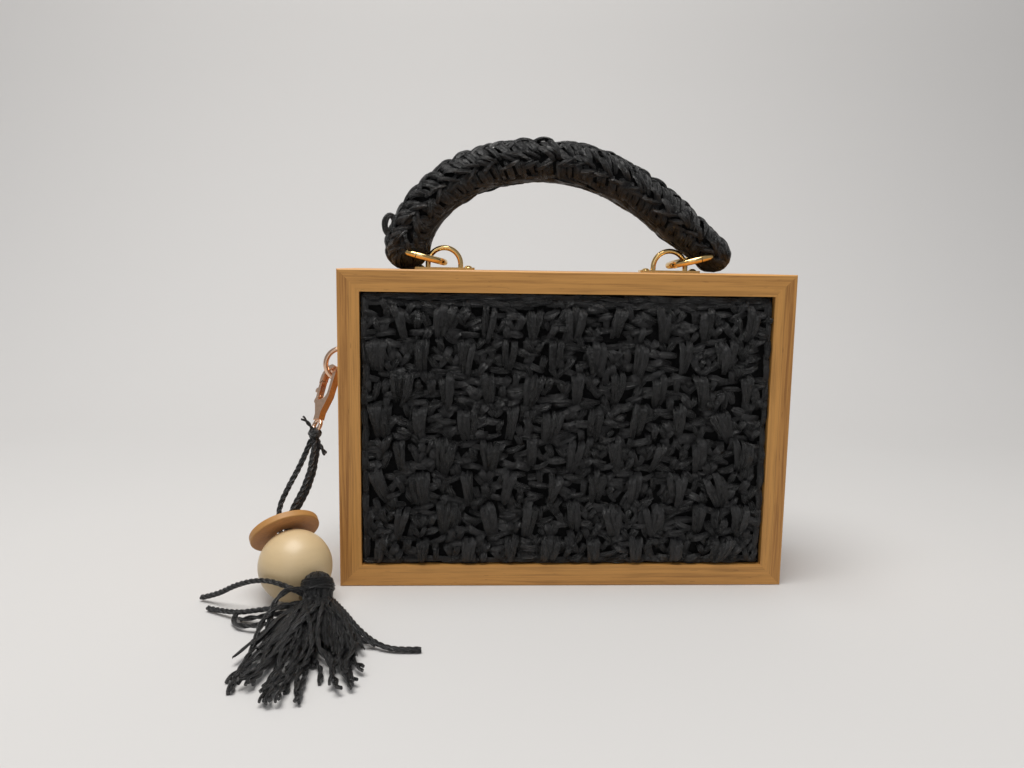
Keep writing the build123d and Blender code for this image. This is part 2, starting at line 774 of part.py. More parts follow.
with BuildPart() as clasp_gate:
    extrude(clasp_outline(), amount=(clasp_thickness - 0.4) / 2, both=True)
    extrude(gate_window(0.0, clasp_gate_heel), amount=clasp_thickness, both=True, mode=Mode.INTERSECT)
    clasp_disc(knuckle_radius + gate_gap, 3 * clasp_thickness, Mode.SUBTRACT)
    with BuildSketch(clasp_plane):
        with Locations((clasp_gate_pin[0], clasp_gate_pin[1] + 1.3)):
            Rectangle(2 * tongue_radius - 0.5, 2.6)
    extrude(amount=tongue_thickness / 2, both=True)
    clasp_disc(tongue_radius, tongue_thickness, Mode.ADD)
    clasp_disc(clasp_pin_radius + pin_play, clasp_thickness + 1, Mode.SUBTRACT)
    with BuildSketch(at(clasp_plane, clasp_top_radius + 0.6, -6.5)):
        Circle(clasp_lever)
    extrude(amount=clasp_lever, both=True)
clasp_gate.part.label = "clasp_gate"
export_step(clasp_gate.part, "parts/clasp_gate.step")

with BuildPart() as clasp_pin:
    clasp_disc(clasp_pin_radius, clasp_thickness, Mode.ADD)
clasp_pin.part.label = "clasp_pin"
export_step(clasp_pin.part, "parts/clasp_pin.step")

# ================================================================ charm
with BuildPart() as charm_knot:
    with Locations(clasp_pivot + clasp_down * knot_reach):
        Sphere(knot_radius)
charm_knot.part.label = "charm_knot"
export_step(charm_knot.part, "parts/charm_knot.step")

ball_middle = beside_box(ball_centre)
bore_axis = ball_bore_axis.normalized()
disc_axis = disc_normal.normalized()
with BuildPart() as charm_ball:
    with Locations(ball_middle):
        Sphere(ball_radius)
    with BuildSketch(Plane(origin=ball_middle, z_dir=bore_axis)):
        Circle(ball_bore_radius)
    extrude(amount=ball_radius, both=True, mode=Mode.SUBTRACT)
charm_ball.part.label = "charm_ball"
export_step(charm_ball.part, "parts/charm_ball.step")

disc_near_face = ball_middle - disc_axis * (ball_radius + disc_gap + disc_thickness)
with BuildPart() as charm_disc:
    with BuildSketch(Plane(origin=disc_near_face, z_dir=disc_axis)):
        Circle(disc_radius)
        Circle(disc_bore_radius, mode=Mode.SUBTRACT)
    extrude(amount=disc_thickness)
    fillet(charm_disc.edges().filter_by(GeomType.CIRCLE).sort_by(SortBy.RADIUS)[-2:], edge_ease)
charm_disc.part.label = "charm_disc"
export_step(charm_disc.part, "parts/charm_disc.step")

cords = {
    "charm_cord_left": (charm_cord_left_points, cord_diameter),
    "charm_cord_front": (charm_cord_front_points, cord_diameter),
    "charm_cord_rear": (charm_cord_rear_points, cord_diameter),
    "stray_left_upper": (stray_left_upper_points, strand_diameter),
    "stray_left_lower": (stray_left_lower_points, strand_diameter),
    "stray_right": (stray_right_points, strand_diameter),
}
for name, (points, diameter) in cords.items():
    with BuildPart() as cord:
        add(cord_tube([beside_box(point) for point in points], diameter, name))
    cord.part.label = name
    export_step(cord.part, f"parts/{name}.step")

with BuildPart() as tassel_head:
    with Locations(beside_box(head_centre)):
        Sphere(head_radius)
tassel_head.part.label = "tassel_head"
export_step(tassel_head.part, "parts/tassel_head.step")

with BuildPart() as tassel_skirt:
    with BuildSketch(Plane.XY):
        Polygon(*[beside_box(point) for point in skirt_outline], align=None)
    extrude(amount=skirt_height, taper=skirt_slope)
tassel_skirt.part.label = "tassel_skirt"
export_step(tassel_skirt.part, "parts/tassel_skirt.step")
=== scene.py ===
"""Basket box bag: bamboo box, crocheted black raffia, gilt hardware and a charm with a raffia tassel.

Metres, in the frame of the packed model: +X to the right, +Y to the back, +Z up.
"""

import math
import random

import bpy
from bpy.props import FloatProperty, FloatVectorProperty, IntProperty, PointerProperty
from bpy.types import Operator, Panel, PropertyGroup
from mathutils import Matrix, Vector, noise


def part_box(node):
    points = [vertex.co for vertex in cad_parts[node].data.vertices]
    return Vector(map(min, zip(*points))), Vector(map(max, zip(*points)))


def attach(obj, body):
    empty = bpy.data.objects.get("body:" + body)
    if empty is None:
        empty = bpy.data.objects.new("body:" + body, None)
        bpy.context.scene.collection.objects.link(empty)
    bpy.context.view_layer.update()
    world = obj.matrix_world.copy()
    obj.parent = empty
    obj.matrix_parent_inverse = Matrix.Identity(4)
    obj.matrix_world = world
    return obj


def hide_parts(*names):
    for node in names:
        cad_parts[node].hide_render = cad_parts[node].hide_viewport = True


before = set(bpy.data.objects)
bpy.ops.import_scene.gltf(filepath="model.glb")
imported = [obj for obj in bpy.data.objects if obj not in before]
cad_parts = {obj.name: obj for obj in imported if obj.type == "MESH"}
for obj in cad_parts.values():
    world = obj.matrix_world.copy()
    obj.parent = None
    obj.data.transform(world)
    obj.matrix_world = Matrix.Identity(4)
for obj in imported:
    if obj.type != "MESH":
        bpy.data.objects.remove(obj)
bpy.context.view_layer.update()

bl_info = {
    "name": "Basket box bag",
    "version": (1, 0, 0),
    "blender": (4, 5, 0),
    "location": "View3D > Sidebar > Basket bag",
    "description": "Builds a bamboo box bag with crocheted raffia panels, a raffia handle and a tassel charm",
    "category": "Object",
}

BOX_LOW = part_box("case_left_board")[0]
BOX_HIGH = Vector(
    (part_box("case_right_board")[1][0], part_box("lid_top_rail")[1][1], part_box("case_top_board")[1][2])
)
BOARD_TOP = BOX_HIGH.z
PANEL_LOW, PANEL_HIGH = (Vector(corner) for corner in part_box("front_weave"))
BACK_LOW, BACK_HIGH = (Vector(corner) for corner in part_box("back_weave"))
KNOT_LOW, KNOT_HIGH = (Vector(corner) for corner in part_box("charm_knot"))
HEAD_LOW, HEAD_HIGH = (Vector(corner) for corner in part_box("tassel_head"))

# The charm's cords, each with its length and its route, in millimetres; x counts from the box's left side.
CHARM_CORDS = {
    "charm_cord_left": (85.9, [
        (-14.4, -16.6, 63.8), (-17.8, -19.9, 54.2), (-23.0, -24.6, 44.6), (-27.0, -29.6, 35.0),
        (-24.8, -35.1, 24.9), (-17.3, -46.3, 14.4), (-10.6, -56.2, 5.4), (-4.6, -62.6, 5.6),
    ]),
    "charm_cord_front": (82.5, [
        (-12.4, -18.6, 64.0), (-12.6, -23.8, 54.6), (-15.4, -28.4, 45.0), (-20.1, -31.8, 36.2),
        (-22.8, -36.6, 27.2), (-16.4, -47.6, 16.6), (-9.6, -57.6, 7.6), (-4.0, -64.0, 8.4),
    ]),
    "charm_cord_rear": (82.3, [
        (-11.2, -16.1, 63.3), (-11.6, -20.8, 53.0), (-14.4, -25.6, 43.0), (-19.2, -29.6, 33.8),
        (-22.1, -34.9, 25.2), (-14.9, -45.6, 15.5), (-8.1, -55.5, 6.5), (-3.2, -61.4, 7.6),
    ]),
}
STRAY_STRANDS = {
    "stray_left_upper": (57.3, [
        (-7.0, -66.0, 9.5), (-16.5, -65.5, 14.5), (-27.0, -62.0, 15.5), (-38.5, -56.0, 11.0),
        (-48.0, -50.5, 4.5), (-56.0, -46.5, 1.6),
    ]),
    "stray_left_lower": (47.7, [
        (-7.2, -68.3, 6.5), (-16.0, -72.0, 8.0), (-26.5, -71.0, 6.0), (-38.0, -65.5, 2.6),
        (-50.0, -57.5, 1.4),
    ]),
    "stray_right": (52.7, [
        (2.4, -66.6, 8.5), (8.0, -76.5, 8.6), (15.5, -87.0, 5.0), (24.0, -95.0, 2.2),
        (32.0, -97.5, 1.4), (40.0, -97.0, 1.4),
    ]),
}
# Strands of the tassel that stand apart from its fan, in the same measure.
LOOSE_STRANDS = [
    [
        (-6.0, -69.0, 8.0), (-15.0, -75.0, 11.0), (-21.5, -85.0, 8.0), (-20.5, -100.0, 3.5),
        (-22.5, -115.0, 1.6), (-21.7, -127.6, 1.4),
    ],
    [
        (-8.0, -72.0, 6.0), (-18.0, -78.0, 4.0), (-29.0, -79.0, 2.5), (-37.0, -72.0, 1.8),
        (-35.0, -66.0, 3.4),
    ],
    [
        (-5.0, -67.0, 11.0), (-12.0, -68.0, 15.0), (-18.5, -72.0, 12.0), (-19.0, -82.0, 7.0),
        (-17.0, -96.0, 4.0), (-20.5, -110.0, 1.8), (-24.5, -120.0, 1.4),
    ],
    [(-6.0, -70.0, 6.0), (-15.0, -72.0, 5.5), (-25.0, -71.5, 3.5), (-34.0, -69.0, 1.4)],
    [(3.0, -74.0, 8.0), (11.0, -85.0, 6.2), (16.0, -99.0, 3.4), (15.5, -113.0, 1.4)],
    [(2.0, -76.0, 7.0), (9.0, -90.0, 6.0), (15.0, -94.0, 4.4), (23.0, -93.5, 2.2)],
]
# Where the strands of the tassel's fan end: x from the box's left side, and y.
SKIRT_TIPS = [
    (-24.5, -115.0), (-21.7, -127.6), (-15.0, -133.0), (-10.0, -137.0), (-6.3, -138.9), (0.0, -136.0),
    (6.0, -131.0), (12.0, -130.0), (17.0, -127.5), (19.7, -127.0), (19.0, -116.0), (16.0, -108.0),
    (14.0, -99.0),
]
# The handle's middle line, in millimetres: x, and the rise above the top board.
HANDLE_LINE = [
    (-73.2, 0.6), (-72.7, 4.5), (-71.8, 9.2), (-70.0, 15.7), (-66.4, 23.3), (-60.5, 31.3),
    (-51.5, 38.8), (-40.0, 44.7), (-26.0, 48.5), (-11.0, 49.7), (4.0, 48.4), (17.5, 44.7), (30.0, 38.7),
    (42.0, 30.7), (52.5, 22.3), (61.0, 15.7), (66.5, 11.5), (70.5, 8.1), (75.6, 3.6),
]

# The camera's place, and its turn to the right, its tilt down and its roll, in degrees.
CAMERA_PLACE = (-0.04195, -0.39756, 0.14317)
CAMERA_ANGLES = (2.7401, 7.9136, -0.8516)
CAMERA_LENS, CAMERA_SENSOR = 29.88, 36.0


# ---------------------------------------------------------------- settings
def length_setting(name, description, default):
    """A size in metres."""
    return FloatProperty(
        name=name, description=description, default=default, min=0.0, precision=4, subtype="DISTANCE",
        unit="LENGTH",
    )


def colour_setting(name, description, default):
    """A linear colour."""
    return FloatVectorProperty(
        name=name, description=description, default=default, size=3, min=0.0, max=1.0, subtype="COLOR"
    )


def seed_setting(description, default):
    """A seed for the random numbers of one piece."""
    return IntProperty(name="Seed", description=description, default=default)


def power_setting(name, description, default):
    """A light's power in watts."""
    return FloatProperty(name=name, description=description, default=default, unit="POWER")


class BasketBagFinishes(PropertyGroup):
    """Colours of the bag's materials"""

    bamboo_inner: colour_setting("Bamboo, inner ply", "Paler half of each board", (0.475, 0.234, 0.062))
    bamboo_outer: colour_setting("Bamboo, outer ply", "Browner half of each board", (0.285, 0.119, 0.028))
    raffia: colour_setting("Raffia", "Dyed raffia", (0.0072, 0.0072, 0.0075))
    gold: colour_setting("Gold", "Rings and top loops", (0.90, 0.62, 0.26))
    rose_gold: colour_setting("Rose gold", "Side loop and clasp", (0.86, 0.58, 0.41))
    steel: colour_setting("Steel", "Hinges, screws and magnets", (0.55, 0.54, 0.52))
    disc: colour_setting("Disc", "Turned wooden disc", (0.44, 0.213, 0.080))
    ball: colour_setting("Ball", "Lacquered wooden ball", (0.60, 0.447, 0.250))
    backing: colour_setting("Backing", "Stained backing boards", (0.020, 0.016, 0.013))


class BasketBagWeave(PropertyGroup):
    """Sizes of the crocheted panels"""

    column_pitch: length_setting("Column pitch", "Between two bundles in a row", 0.0190)
    row_pitch: length_setting("Row pitch", "Between two rows of bundles", 0.0147)
    leaf_length: length_setting("Bundle length", "Length of a bundle's strands", 0.0150)
    leaf_width: length_setting("Strand width", "Width of a flat strand", 0.0036)
    relief: length_setting("Relief", "How far the bundles stand out of the ground", 0.0036)
    seed: seed_setting("Changes the unevenness of the stitches", 7)


class BasketBagHandle(PropertyGroup):
    """Sizes of the crocheted handle"""

    radius: length_setting("Radius", "Radius of the handle over its stitches", 0.0092)
    end_radius: length_setting("End radius", "Radius of the right end", 0.0074)
    stitch_pitch: length_setting("Stitch pitch", "Between two stitches along the handle", 0.0086)
    seed: seed_setting("Changes the unevenness of the stitches", 11)


class BasketBagCharm(PropertyGroup):
    """Sizes of the charm's cords and tassel"""

    cord_diameter: length_setting("Cord diameter", "Twisted cords over the ball", 0.0026)
    strand_diameter: length_setting("Strand diameter", "Twisted strands of the tassel", 0.0024)
    strands: IntProperty(name="Strands", description="Strands in the tassel", default=32, min=8, max=90)
    seed: seed_setting("Changes how the tassel fans out", 5)


class BasketBagStage(PropertyGroup):
    """Floor and light"""

    floor: colour_setting("Floor", "Pale sweep under and behind the bag", (0.608, 0.597, 0.585))
    top_light: power_setting("Top light", "Power of the overhead softbox", 15.5)
    front_light: power_setting("Front light", "Power of the soft light in front", 2.2)


# ---------------------------------------------------------------- materials
class Wire:
    """A node socket that can be used in sums; every sum adds a Math node."""

    def __init__(self, finish, socket):
        self.finish = finish
        self.socket = socket

    def math(self, operation, *values):
        return self.finish.node("ShaderNodeMath", {"operation": operation}, dict(enumerate(values)))

    def __add__(self, other):
        return self.math("ADD", self, other)

    def __radd__(self, other):
        return self.math("ADD", other, self)

    def __sub__(self, other):
        return self.math("SUBTRACT", self, other)

    def __rsub__(self, other):
        return self.math("SUBTRACT", other, self)

    def __mul__(self, other):
        return self.math("MULTIPLY", self, other)

    def __rmul__(self, other):
        return self.math("MULTIPLY", other, self)

    def __pow__(self, other):
        return self.math("POWER", self, other)

    def __abs__(self):
        return self.math("ABSOLUTE", self)


class Finish:
    """A node material under construction: constants sit on the shader, wires come from node()."""

    def __init__(self, name, constants):
        self.material = bpy.data.materials.new(name)
        self.material.use_nodes = True
        self.tree = self.material.node_tree
        self.shader = self.tree.nodes["Principled BSDF"]
        for socket, value in constants.items():
            self.shader.inputs[socket].default_value = value

    def node(self, kind, settings=None, inputs=None, output=0):
        node = self.tree.nodes.new(kind)
        for key, value in (settings or {}).items():
            if key == "stops":
                ramp = node.color_ramp
                while len(ramp.elements) < len(value):
                    ramp.elements.new(0.5)
                for element, (place, level) in zip(ramp.elements, value):
                    element.position = place
                    element.color = (level, level, level, 1.0)
            else:
                setattr(node, key, value)
        for key, value in (inputs or {}).items():
            if isinstance(value, Wire):
                self.tree.links.new(value.socket, node.inputs[key])
            elif node.inputs[key].type == "RGBA":
                node.inputs[key].default_value = (*value, 1.0)
            else:
                node.inputs[key].default_value = value
        return Wire(self, node.outputs[output])

    def feed(self, socket, wire):
        self.tree.links.new(wire.socket, self.shader.inputs[socket])

    def place(self):
        """Object coordinates, as three wires."""
        coordinates = self.node("ShaderNodeTexCoord", output="Object")
        return [self.node("ShaderNodeSeparateXYZ", None, {0: coordinates}, axis) for axis in range(3)]

    def strand(self):
        """How far along a strand, how far across it, and the strand's own tone."""
        coordinates = self.node("ShaderNodeUVMap", {"uv_map": "strand"})
        along, across = (
            self.node("ShaderNodeSeparateXYZ", None, {0: coordinates}, axis) for axis in range(2)
        )
        return along, across, self.node("ShaderNodeAttribute", {"attribute_name": "tone"}, output="Fac")

    def vector(self, x, y, z):
        return self.node("ShaderNodeCombineXYZ", None, {0: x, 1: y, 2: z})

    def noise(self, vector, scale=1.0, detail=3.0, roughness=0.55, distortion=0.0):
        inputs = {
            "Vector": vector, "Scale": scale, "Detail": detail, "Roughness": roughness,
            "Distortion": distortion,
        }
        return self.node("ShaderNodeTexNoise", None, inputs)

    def scaled(self, place, scales, **settings):
        """Noise over a place whose three axes are stretched by the scales."""
        return self.noise(self.vector(*(axis * scale for axis, scale in zip(place, scales))), **settings)

    def ramp(self, wire, *stops):
        return self.node("ShaderNodeValToRGB", {"stops": stops}, {0: wire})

    def between(self, wire, low, high, out_low=0.0, out_high=1.0):
        """The wire stretched from low..high to out_low..out_high, eased and held at the ends."""
        inputs = {"Value": wire, "From Min": low, "From Max": high, "To Min": out_low, "To Max": out_high}
        return self.node("ShaderNodeMapRange", {"interpolation_type": "SMOOTHSTEP"}, inputs)

    def mix(self, share, first, second, blend="MIX"):
        settings = {"data_type": "RGBA", "blend_type": blend}
        return self.node("ShaderNodeMix", settings, {0: share, 6: first, 7: second}, 2)

    def tones(self, share, colour, dark, light):
        """A colour between two levels of itself."""
        return self.mix(share, shade(colour, dark), shade(colour, light))

    def bump(self, height, strength, distance):
        inputs = {"Strength": strength, "Distance": distance, "Height": height}
        self.feed("Normal", self.node("ShaderNodeBump", None, inputs, "Normal"))


def shade(colour, level):
    """The colour made lighter or darker."""
    return tuple(min(1.0, channel * level) for channel in colour)


def bamboo_finish(name, side, finishes):
    """Two-ply bamboo with its grain along one side of the box: top, bottom, left or right, with a painted
    highlight on the box's outer side.
    """
    finish = Finish(name, {"Specular IOR Level": 0.35, "Coat Weight": 0.05, "Coat Roughness": 0.35})
    x, y, z = finish.place()
    if side in ("top", "bottom"):
        along = x
        inward = BOX_HIGH.z - z if side == "top" else z - BOX_LOW.z
    else:
        along = z
        inward = x - BOX_LOW.x if side == "left" else BOX_HIGH.x - x
    two_ply = {"top": 0.10, "bottom": 0.35, "left": 0.95, "right": 0.85}[side]
    seed = {"top": 1.3, "bottom": 4.1, "left": 7.7, "right": 9.2}[side]
    wander = finish.noise(finish.vector(along * 14.0, inward * 60.0, y * 20.0 + seed), detail=2.0)
    grain_place = finish.vector(along * 22.0, inward * 900.0 + wander * 2.4, y * 420.0 + seed)
    grain = finish.noise(grain_place, detail=4.0, roughness=0.6)
    fibre_place = finish.vector(along * 70.0 + seed, inward * 2600.0, y * 2200.0)
    fibres = finish.noise(fibre_place, detail=2.0, roughness=0.5)
    nodes = finish.noise(finish.vector(along * 160.0, inward * 1500.0 + seed, y * 900.0), detail=1.0)
    ply = finish.between(inward + wander * 0.0004, 0.0048, 0.0052)
    ply_line = finish.between(abs(inward - 0.0051), 0.0, 0.00022, 1.0, 0.0)
    inner = finish.mix(two_ply, finishes.bamboo_inner, finishes.bamboo_outer)
    body = finish.mix(ply, inner, finishes.bamboo_inner)
    for share, ply_colour, level in (
        (finish.ramp(grain, (0.34, 0.0), (0.66, 0.75)), finishes.bamboo_inner, 1.25),
        (finish.between(grain, 0.54, 0.30, 0.0, 0.36), finishes.bamboo_outer, 0.78),
        (finish.between(fibres, 0.60, 0.72, 0.0, 0.26), finishes.bamboo_outer, 0.45),
        (finish.between(nodes, 0.70, 0.76, 0.0, 0.40), finishes.bamboo_outer, 0.32),
        (ply_line * (0.5 * two_ply), finishes.bamboo_outer, 0.55),
        # Painted highlight: paler where a board lies within 0.8 mm of the box's outer side, over its whole
        # outer face and in a thin line along its outer edge.
        (finish.between(inward, 0.0008, 0.0002) * 0.45, finishes.bamboo_inner, 1.55),
    ):
        body = finish.mix(share, body, shade(ply_colour, level))
    finish.feed("Base Color", body)
    finish.feed("Roughness", 0.36 + grain * 0.16 + fibres * 0.06)
    finish.bump(grain * 0.6 + fibres * 0.5, 0.30, 0.00025)
    return finish.material


def raffia_finish(name, finishes, lift=1.0):
    """Dyed raffia: flat plant fibre with fine lines along each strand, a waxy sheen and painted highlights on
    its brightest lines and creases; lift makes a lighter or darker copy of it, painted light or painted
    shade.
    """
    finish = Finish(name, {"Specular IOR Level": 0.70})
    along, across, tone = finish.strand()
    lines = finish.scaled((along, across, tone), (120.0, 8.0, 37.0), detail=4.0, roughness=0.65)
    creases = finish.scaled((along, across, tone), (620.0, 2.2, 53.0), detail=3.0)
    level = lines * 0.55 + tone * 0.45
    # lift scales the whole colour, so one raffia gives lit and shaded copies: painted light and painted
    # shade.
    body = finish.tones(finish.between(level, 0.28, 0.78), finishes.raffia, 0.50 * lift, 2.3 * lift)
    # Painted highlight: the brightest fibre lines and creases are painted up to five times as light as the
    # raffia.
    painted_highlight = finish.between(lines + creases * 0.35, 0.78, 0.98, 0.0, 0.35)
    body = finish.mix(painted_highlight, body, shade(finishes.raffia, 5.0 * lift))
    finish.feed("Base Color", body)
    finish.feed("Roughness", 0.14 + lines * 0.20 + tone * 0.12)
    finish.bump(lines + creases * 0.7, 1.0, 0.0018)
    return finish.material


def shaded_ground_finish(name, finishes):
    """The close stitches under the raised ones: real raffia ground, painted far darker than the raffia as the
    shade that fills the gaps.
    """
    finish = Finish(name, {"Specular IOR Level": 0.12})
    place = finish.place()
    lines = finish.scaled(place, (260.0, 260.0, 900.0), detail=3.0)
    rows = finish.scaled(place, (700.0, 700.0, 180.0), detail=2.0)
    finish.feed("Base Color", finish.tones(lines, finishes.raffia, 0.12, 0.55))
    finish.feed("Roughness", 0.7 + rows * 0.2)
    finish.bump(lines + rows * 0.7, 0.8, 0.0012)
    return finish.material


def metal_finish(name, colour, roughness):
    """Polished plated metal with faint handling marks."""
    finish = Finish(name, {"Metallic": 1.0})
    place = finish.place()
    marks = finish.scaled(place, (900.0, 900.0, 900.0), detail=4.0)
    scratches = finish.scaled(place, (4200.0, 500.0, 600.0), detail=2.0, roughness=0.7)
    finish.feed("Base Color", finish.tones(finish.between(marks, 0.35, 0.75), colour, 1.0, 0.80))
    finish.feed("Roughness", roughness + marks * 0.10 + scratches * 0.05)
    finish.bump(scratches, 0.06, 0.0001)
    return finish.material


def disc_finish(name, finishes):
    """Turned hardwood: grain across the disc, with its outer band and rim painted paler: painted light
    against the face that the ball shades.
    """
    low, high = (Vector(corner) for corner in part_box("charm_disc"))
    middle = (low + high) / 2
    finish = Finish(name, {})
    x, y, z = finish.place()
    grain = finish.noise(
        finish.vector((x + z * 0.5) * 260.0, (y - z * 0.4) * 900.0, z * 700.0), detail=4.0, distortion=0.6
    )
    pores = finish.scaled((x, y, z), (1400.0, 4200.0, 3000.0), detail=2.0)
    body = finish.tones(grain, finishes.disc, 0.72, 1.35)
    body = finish.mix(finish.between(pores, 0.58, 0.72, 0.0, 0.5), body, shade(finishes.disc, 0.4))
    reach = ((x - middle.x) ** 2.0 + (y - middle.y) ** 2.0 + (z - middle.z) ** 2.0) ** 0.5
    # Painted light: the disc's outer band and rim are made paler than its face, which lies in the ball's
    # shade.
    rim = finish.between(reach, 0.0137, 0.0148)
    body = finish.mix(rim * 0.80, body, shade(finishes.bamboo_inner, 0.95))
    finish.feed("Base Color", body)
    finish.feed("Roughness", 0.42 + grain * 0.2)
    finish.bump(grain * 0.6 + pores * 0.6, 0.4, 0.0002)
    return finish.material


def ball_finish(name, finishes):
    """Cream lacquer over turned wood, with faint rings and blotches."""
    finish = Finish(name, {"Coat Weight": 0.35, "Coat Roughness": 0.28})
    place = finish.place()
    rings = finish.scaled(place, (60.0, 60.0, 520.0), detail=2.0, distortion=0.3)
    cloud = finish.scaled(place, (90.0, 90.0, 90.0), detail=3.0)
    body = finish.tones(rings * 0.5 + cloud * 0.4, finishes.ball, 0.90, 1.10)
    specks = finish.scaled(place, (1500.0, 1500.0, 1500.0), detail=1.0)
    body = finish.mix(finish.between(specks, 0.70, 0.78, 0.0, 0.3), body, shade(finishes.ball, 0.62))
    finish.feed("Base Color", body)
    finish.feed("Roughness", 0.40 + cloud * 0.16)
    finish.bump(rings * 0.5 + specks * 0.2, 0.10, 0.0002)
    return finish.material


def backing_finish(name, finishes):
    """Stained plywood behind the crochet."""
    finish = Finish(name, {})
    grain = finish.scaled(finish.place(), (35.0, 300.0, 900.0), detail=4.0, distortion=0.4)
    finish.feed("Base Color", finish.tones(grain, finishes.backing, 0.6, 1.8))
    finish.feed("Roughness", 0.6 + grain * 0.2)
    finish.bump(grain, 0.3, 0.0002)
    return finish.material


def paper_finish(name, colour):
    """Matt paper sweep with soft, wide unevenness, and painted light that makes its rising backdrop lighter
    than its floor.
    """
    finish = Finish(name, {})
    place = finish.place()
    cloud = finish.scaled(place, (2.2, 1.4, 2.6), detail=3.0)
    fibre = finish.scaled(place, (60.0, 60.0, 60.0), detail=2.0)
    body = finish.tones(cloud, colour, 0.96, 1.03)
    # Painted light: where the sweep rises into the backdrop it is painted 6 % lighter than the floor.
    rise = finish.between(place[1] + cloud * 0.10, 0.22, 0.62)
    finish.feed("Base Color", finish.mix(rise, body, shade(colour, 1.06)))
    finish.feed("Roughness", 0.80 + fibre * 0.1)
    finish.bump(cloud, 0.10, 0.02)
    return finish.material


def made(name, build, *values):
    """The material of that name, built the first time it is asked for."""
    name += "_finish"
    return bpy.data.materials.get(name) or build(name, *values)


def dress(node, material):
    """Give a frame node its finish."""
    node_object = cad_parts[node]
    node_object.data.materials.clear()
    node_object.data.materials.append(material)


# ---------------------------------------------------------------- strand meshes
FURROW = 0.26  # depth of a strand's lengthwise furrows, as a share of its width
RAGGED = 0.24  # unevenness of its edges, as a share of its width
PLY_REACH, PLY_RADIUS = 0.22, 0.30  # a ply's distance from the cord's middle and its radius, by diameter


class StrandMesh:
    """Gathers strips and tubes, each with its length, its width and its tone, into one mesh."""

    def __init__(self):
        self.points = []
        self.faces = []
        self.uvs = []
        self.tones = []

    def grid(self, rows, distances, tone, closed=False, flip=False):
        """Join rows of points into a strip, or into a tube when closed."""
        count = len(rows[0])
        first = len(self.points)
        for row in rows:
            self.points.extend(row)
            self.tones.extend([tone] * count)
        for i in range(len(rows) - 1):
            for j in range(count if closed else count - 1):
                k = (j + 1) % count
                corners = [(i, j, j), (i + 1, j, j), (i + 1, k, j + 1), (i, k, j + 1)]
                if flip:
                    corners.reverse()
                self.faces.append([first + row * count + column for row, column, _ in corners])
                width = count if closed else count - 1
                self.uvs.extend((distances[row], place / width) for row, _, place in corners)

    def ribbon(self, points, outs, widths, crown, tone, roll=0.0, across_steps=5):
        """A flat strand, furrowed lengthwise: its middle line, where it faces, its widths and its crown."""
        rows, distances, travelled = [], [], 0.0
        last = len(points) - 1
        for i, (point, out, width) in enumerate(zip(points, outs, widths)):
            if i:
                travelled += (point - points[i - 1]).length
            tangent = (points[min(i + 1, last)] - points[max(i - 1, 0)]).normalized()
            out = (out - tangent * out.dot(tangent)).normalized()
            if roll:
                out = Matrix.Rotation(roll, 3, tangent) @ out
            across = out.cross(tangent)
            ragged = width * (1.0 + RAGGED * noise.noise(Vector((travelled * 420.0, tone * 71.0, 0.0))))
            row = []
            for j in range(across_steps + 1):
                share = 2.0 * j / across_steps - 1.0
                furrow = noise.noise(Vector((j * 1.37 + tone * 97.0, travelled * 130.0, tone * 31.0)))
                height = crown * (1.0 - abs(share) ** 1.6) + furrow * FURROW * width
                row.append(point + across * (share * ragged / 2) + out * height)
            rows.append(row)
            distances.append(travelled)
        self.grid(rows, distances, tone)

    def tube(self, points, radii, tone, sides=8, flat=1.0):
        """A round strand with closed ends."""
        rows, distances, travelled = [], [], 0.0
        for i, (point, first, second) in enumerate(framed(points)):
            if i:
                travelled += (point - points[i - 1]).length
            rows.append(
                [
                    point
                    + first * (radii[i] * math.cos(2 * math.pi * j / sides))
                    + second * (radii[i] * flat * math.sin(2 * math.pi * j / sides))
                    for j in range(sides)
                ]
            )
            distances.append(travelled)
        self.grid(rows, distances, tone, closed=True, flip=True)
        for row, turn in ((rows[0], 1), (rows[-1], -1)):
            start = len(self.points)
            self.points.extend(row)
            self.tones.extend([tone] * sides)
            self.faces.append([start + j for j in range(sides)][::turn])
            self.uvs.extend([(0.0, 0.5)] * sides)

    def twist(self, points, diameter, pitch, tone, plies=2, sides=7, phase=0.0, open_end=0.0):
        """A cord of plies twisted round each other along a line."""
        lines = [[] for _ in range(plies)]
        travelled = 0.0
        total = sum((b - a).length for a, b in zip(points, points[1:]))
        for i, (point, first, second) in enumerate(framed(points)):
            if i:
                travelled += (point - points[i - 1]).length
            loose = 1.0 + open_end * max(0.0, travelled / total - 0.88) / 0.12
            for ply, line in enumerate(lines):
                angle = phase + 2 * math.pi * (travelled / pitch + ply / plies)
                spoke = first * math.cos(angle) + second * math.sin(angle)
                line.append(point + spoke * (diameter * PLY_REACH * loose))
        for ply, line in enumerate(lines):
            self.tube(line, [diameter * PLY_RADIUS] * len(line), tone + 0.13 * ply, sides=sides, flat=0.8)

    def build(self, name, material, slot="black_raffia"):
        mesh = bpy.data.meshes.new(name)
        mesh.from_pydata([tuple(point) for point in self.points], [], self.faces)
        layer = mesh.uv_layers.new(name="strand")
        layer.data.foreach_set("uv", [value for pair in self.uvs for value in pair])
        attribute = mesh.attributes.new("tone", "FLOAT", "POINT")
        attribute.data.foreach_set("value", [tone % 1.0 for tone in self.tones])
        mesh.shade_smooth()
        mesh.materials.append(material)
        piece = bpy.data.objects.new(name, mesh)
        bpy.context.scene.collection.objects.link(piece)
        return piece


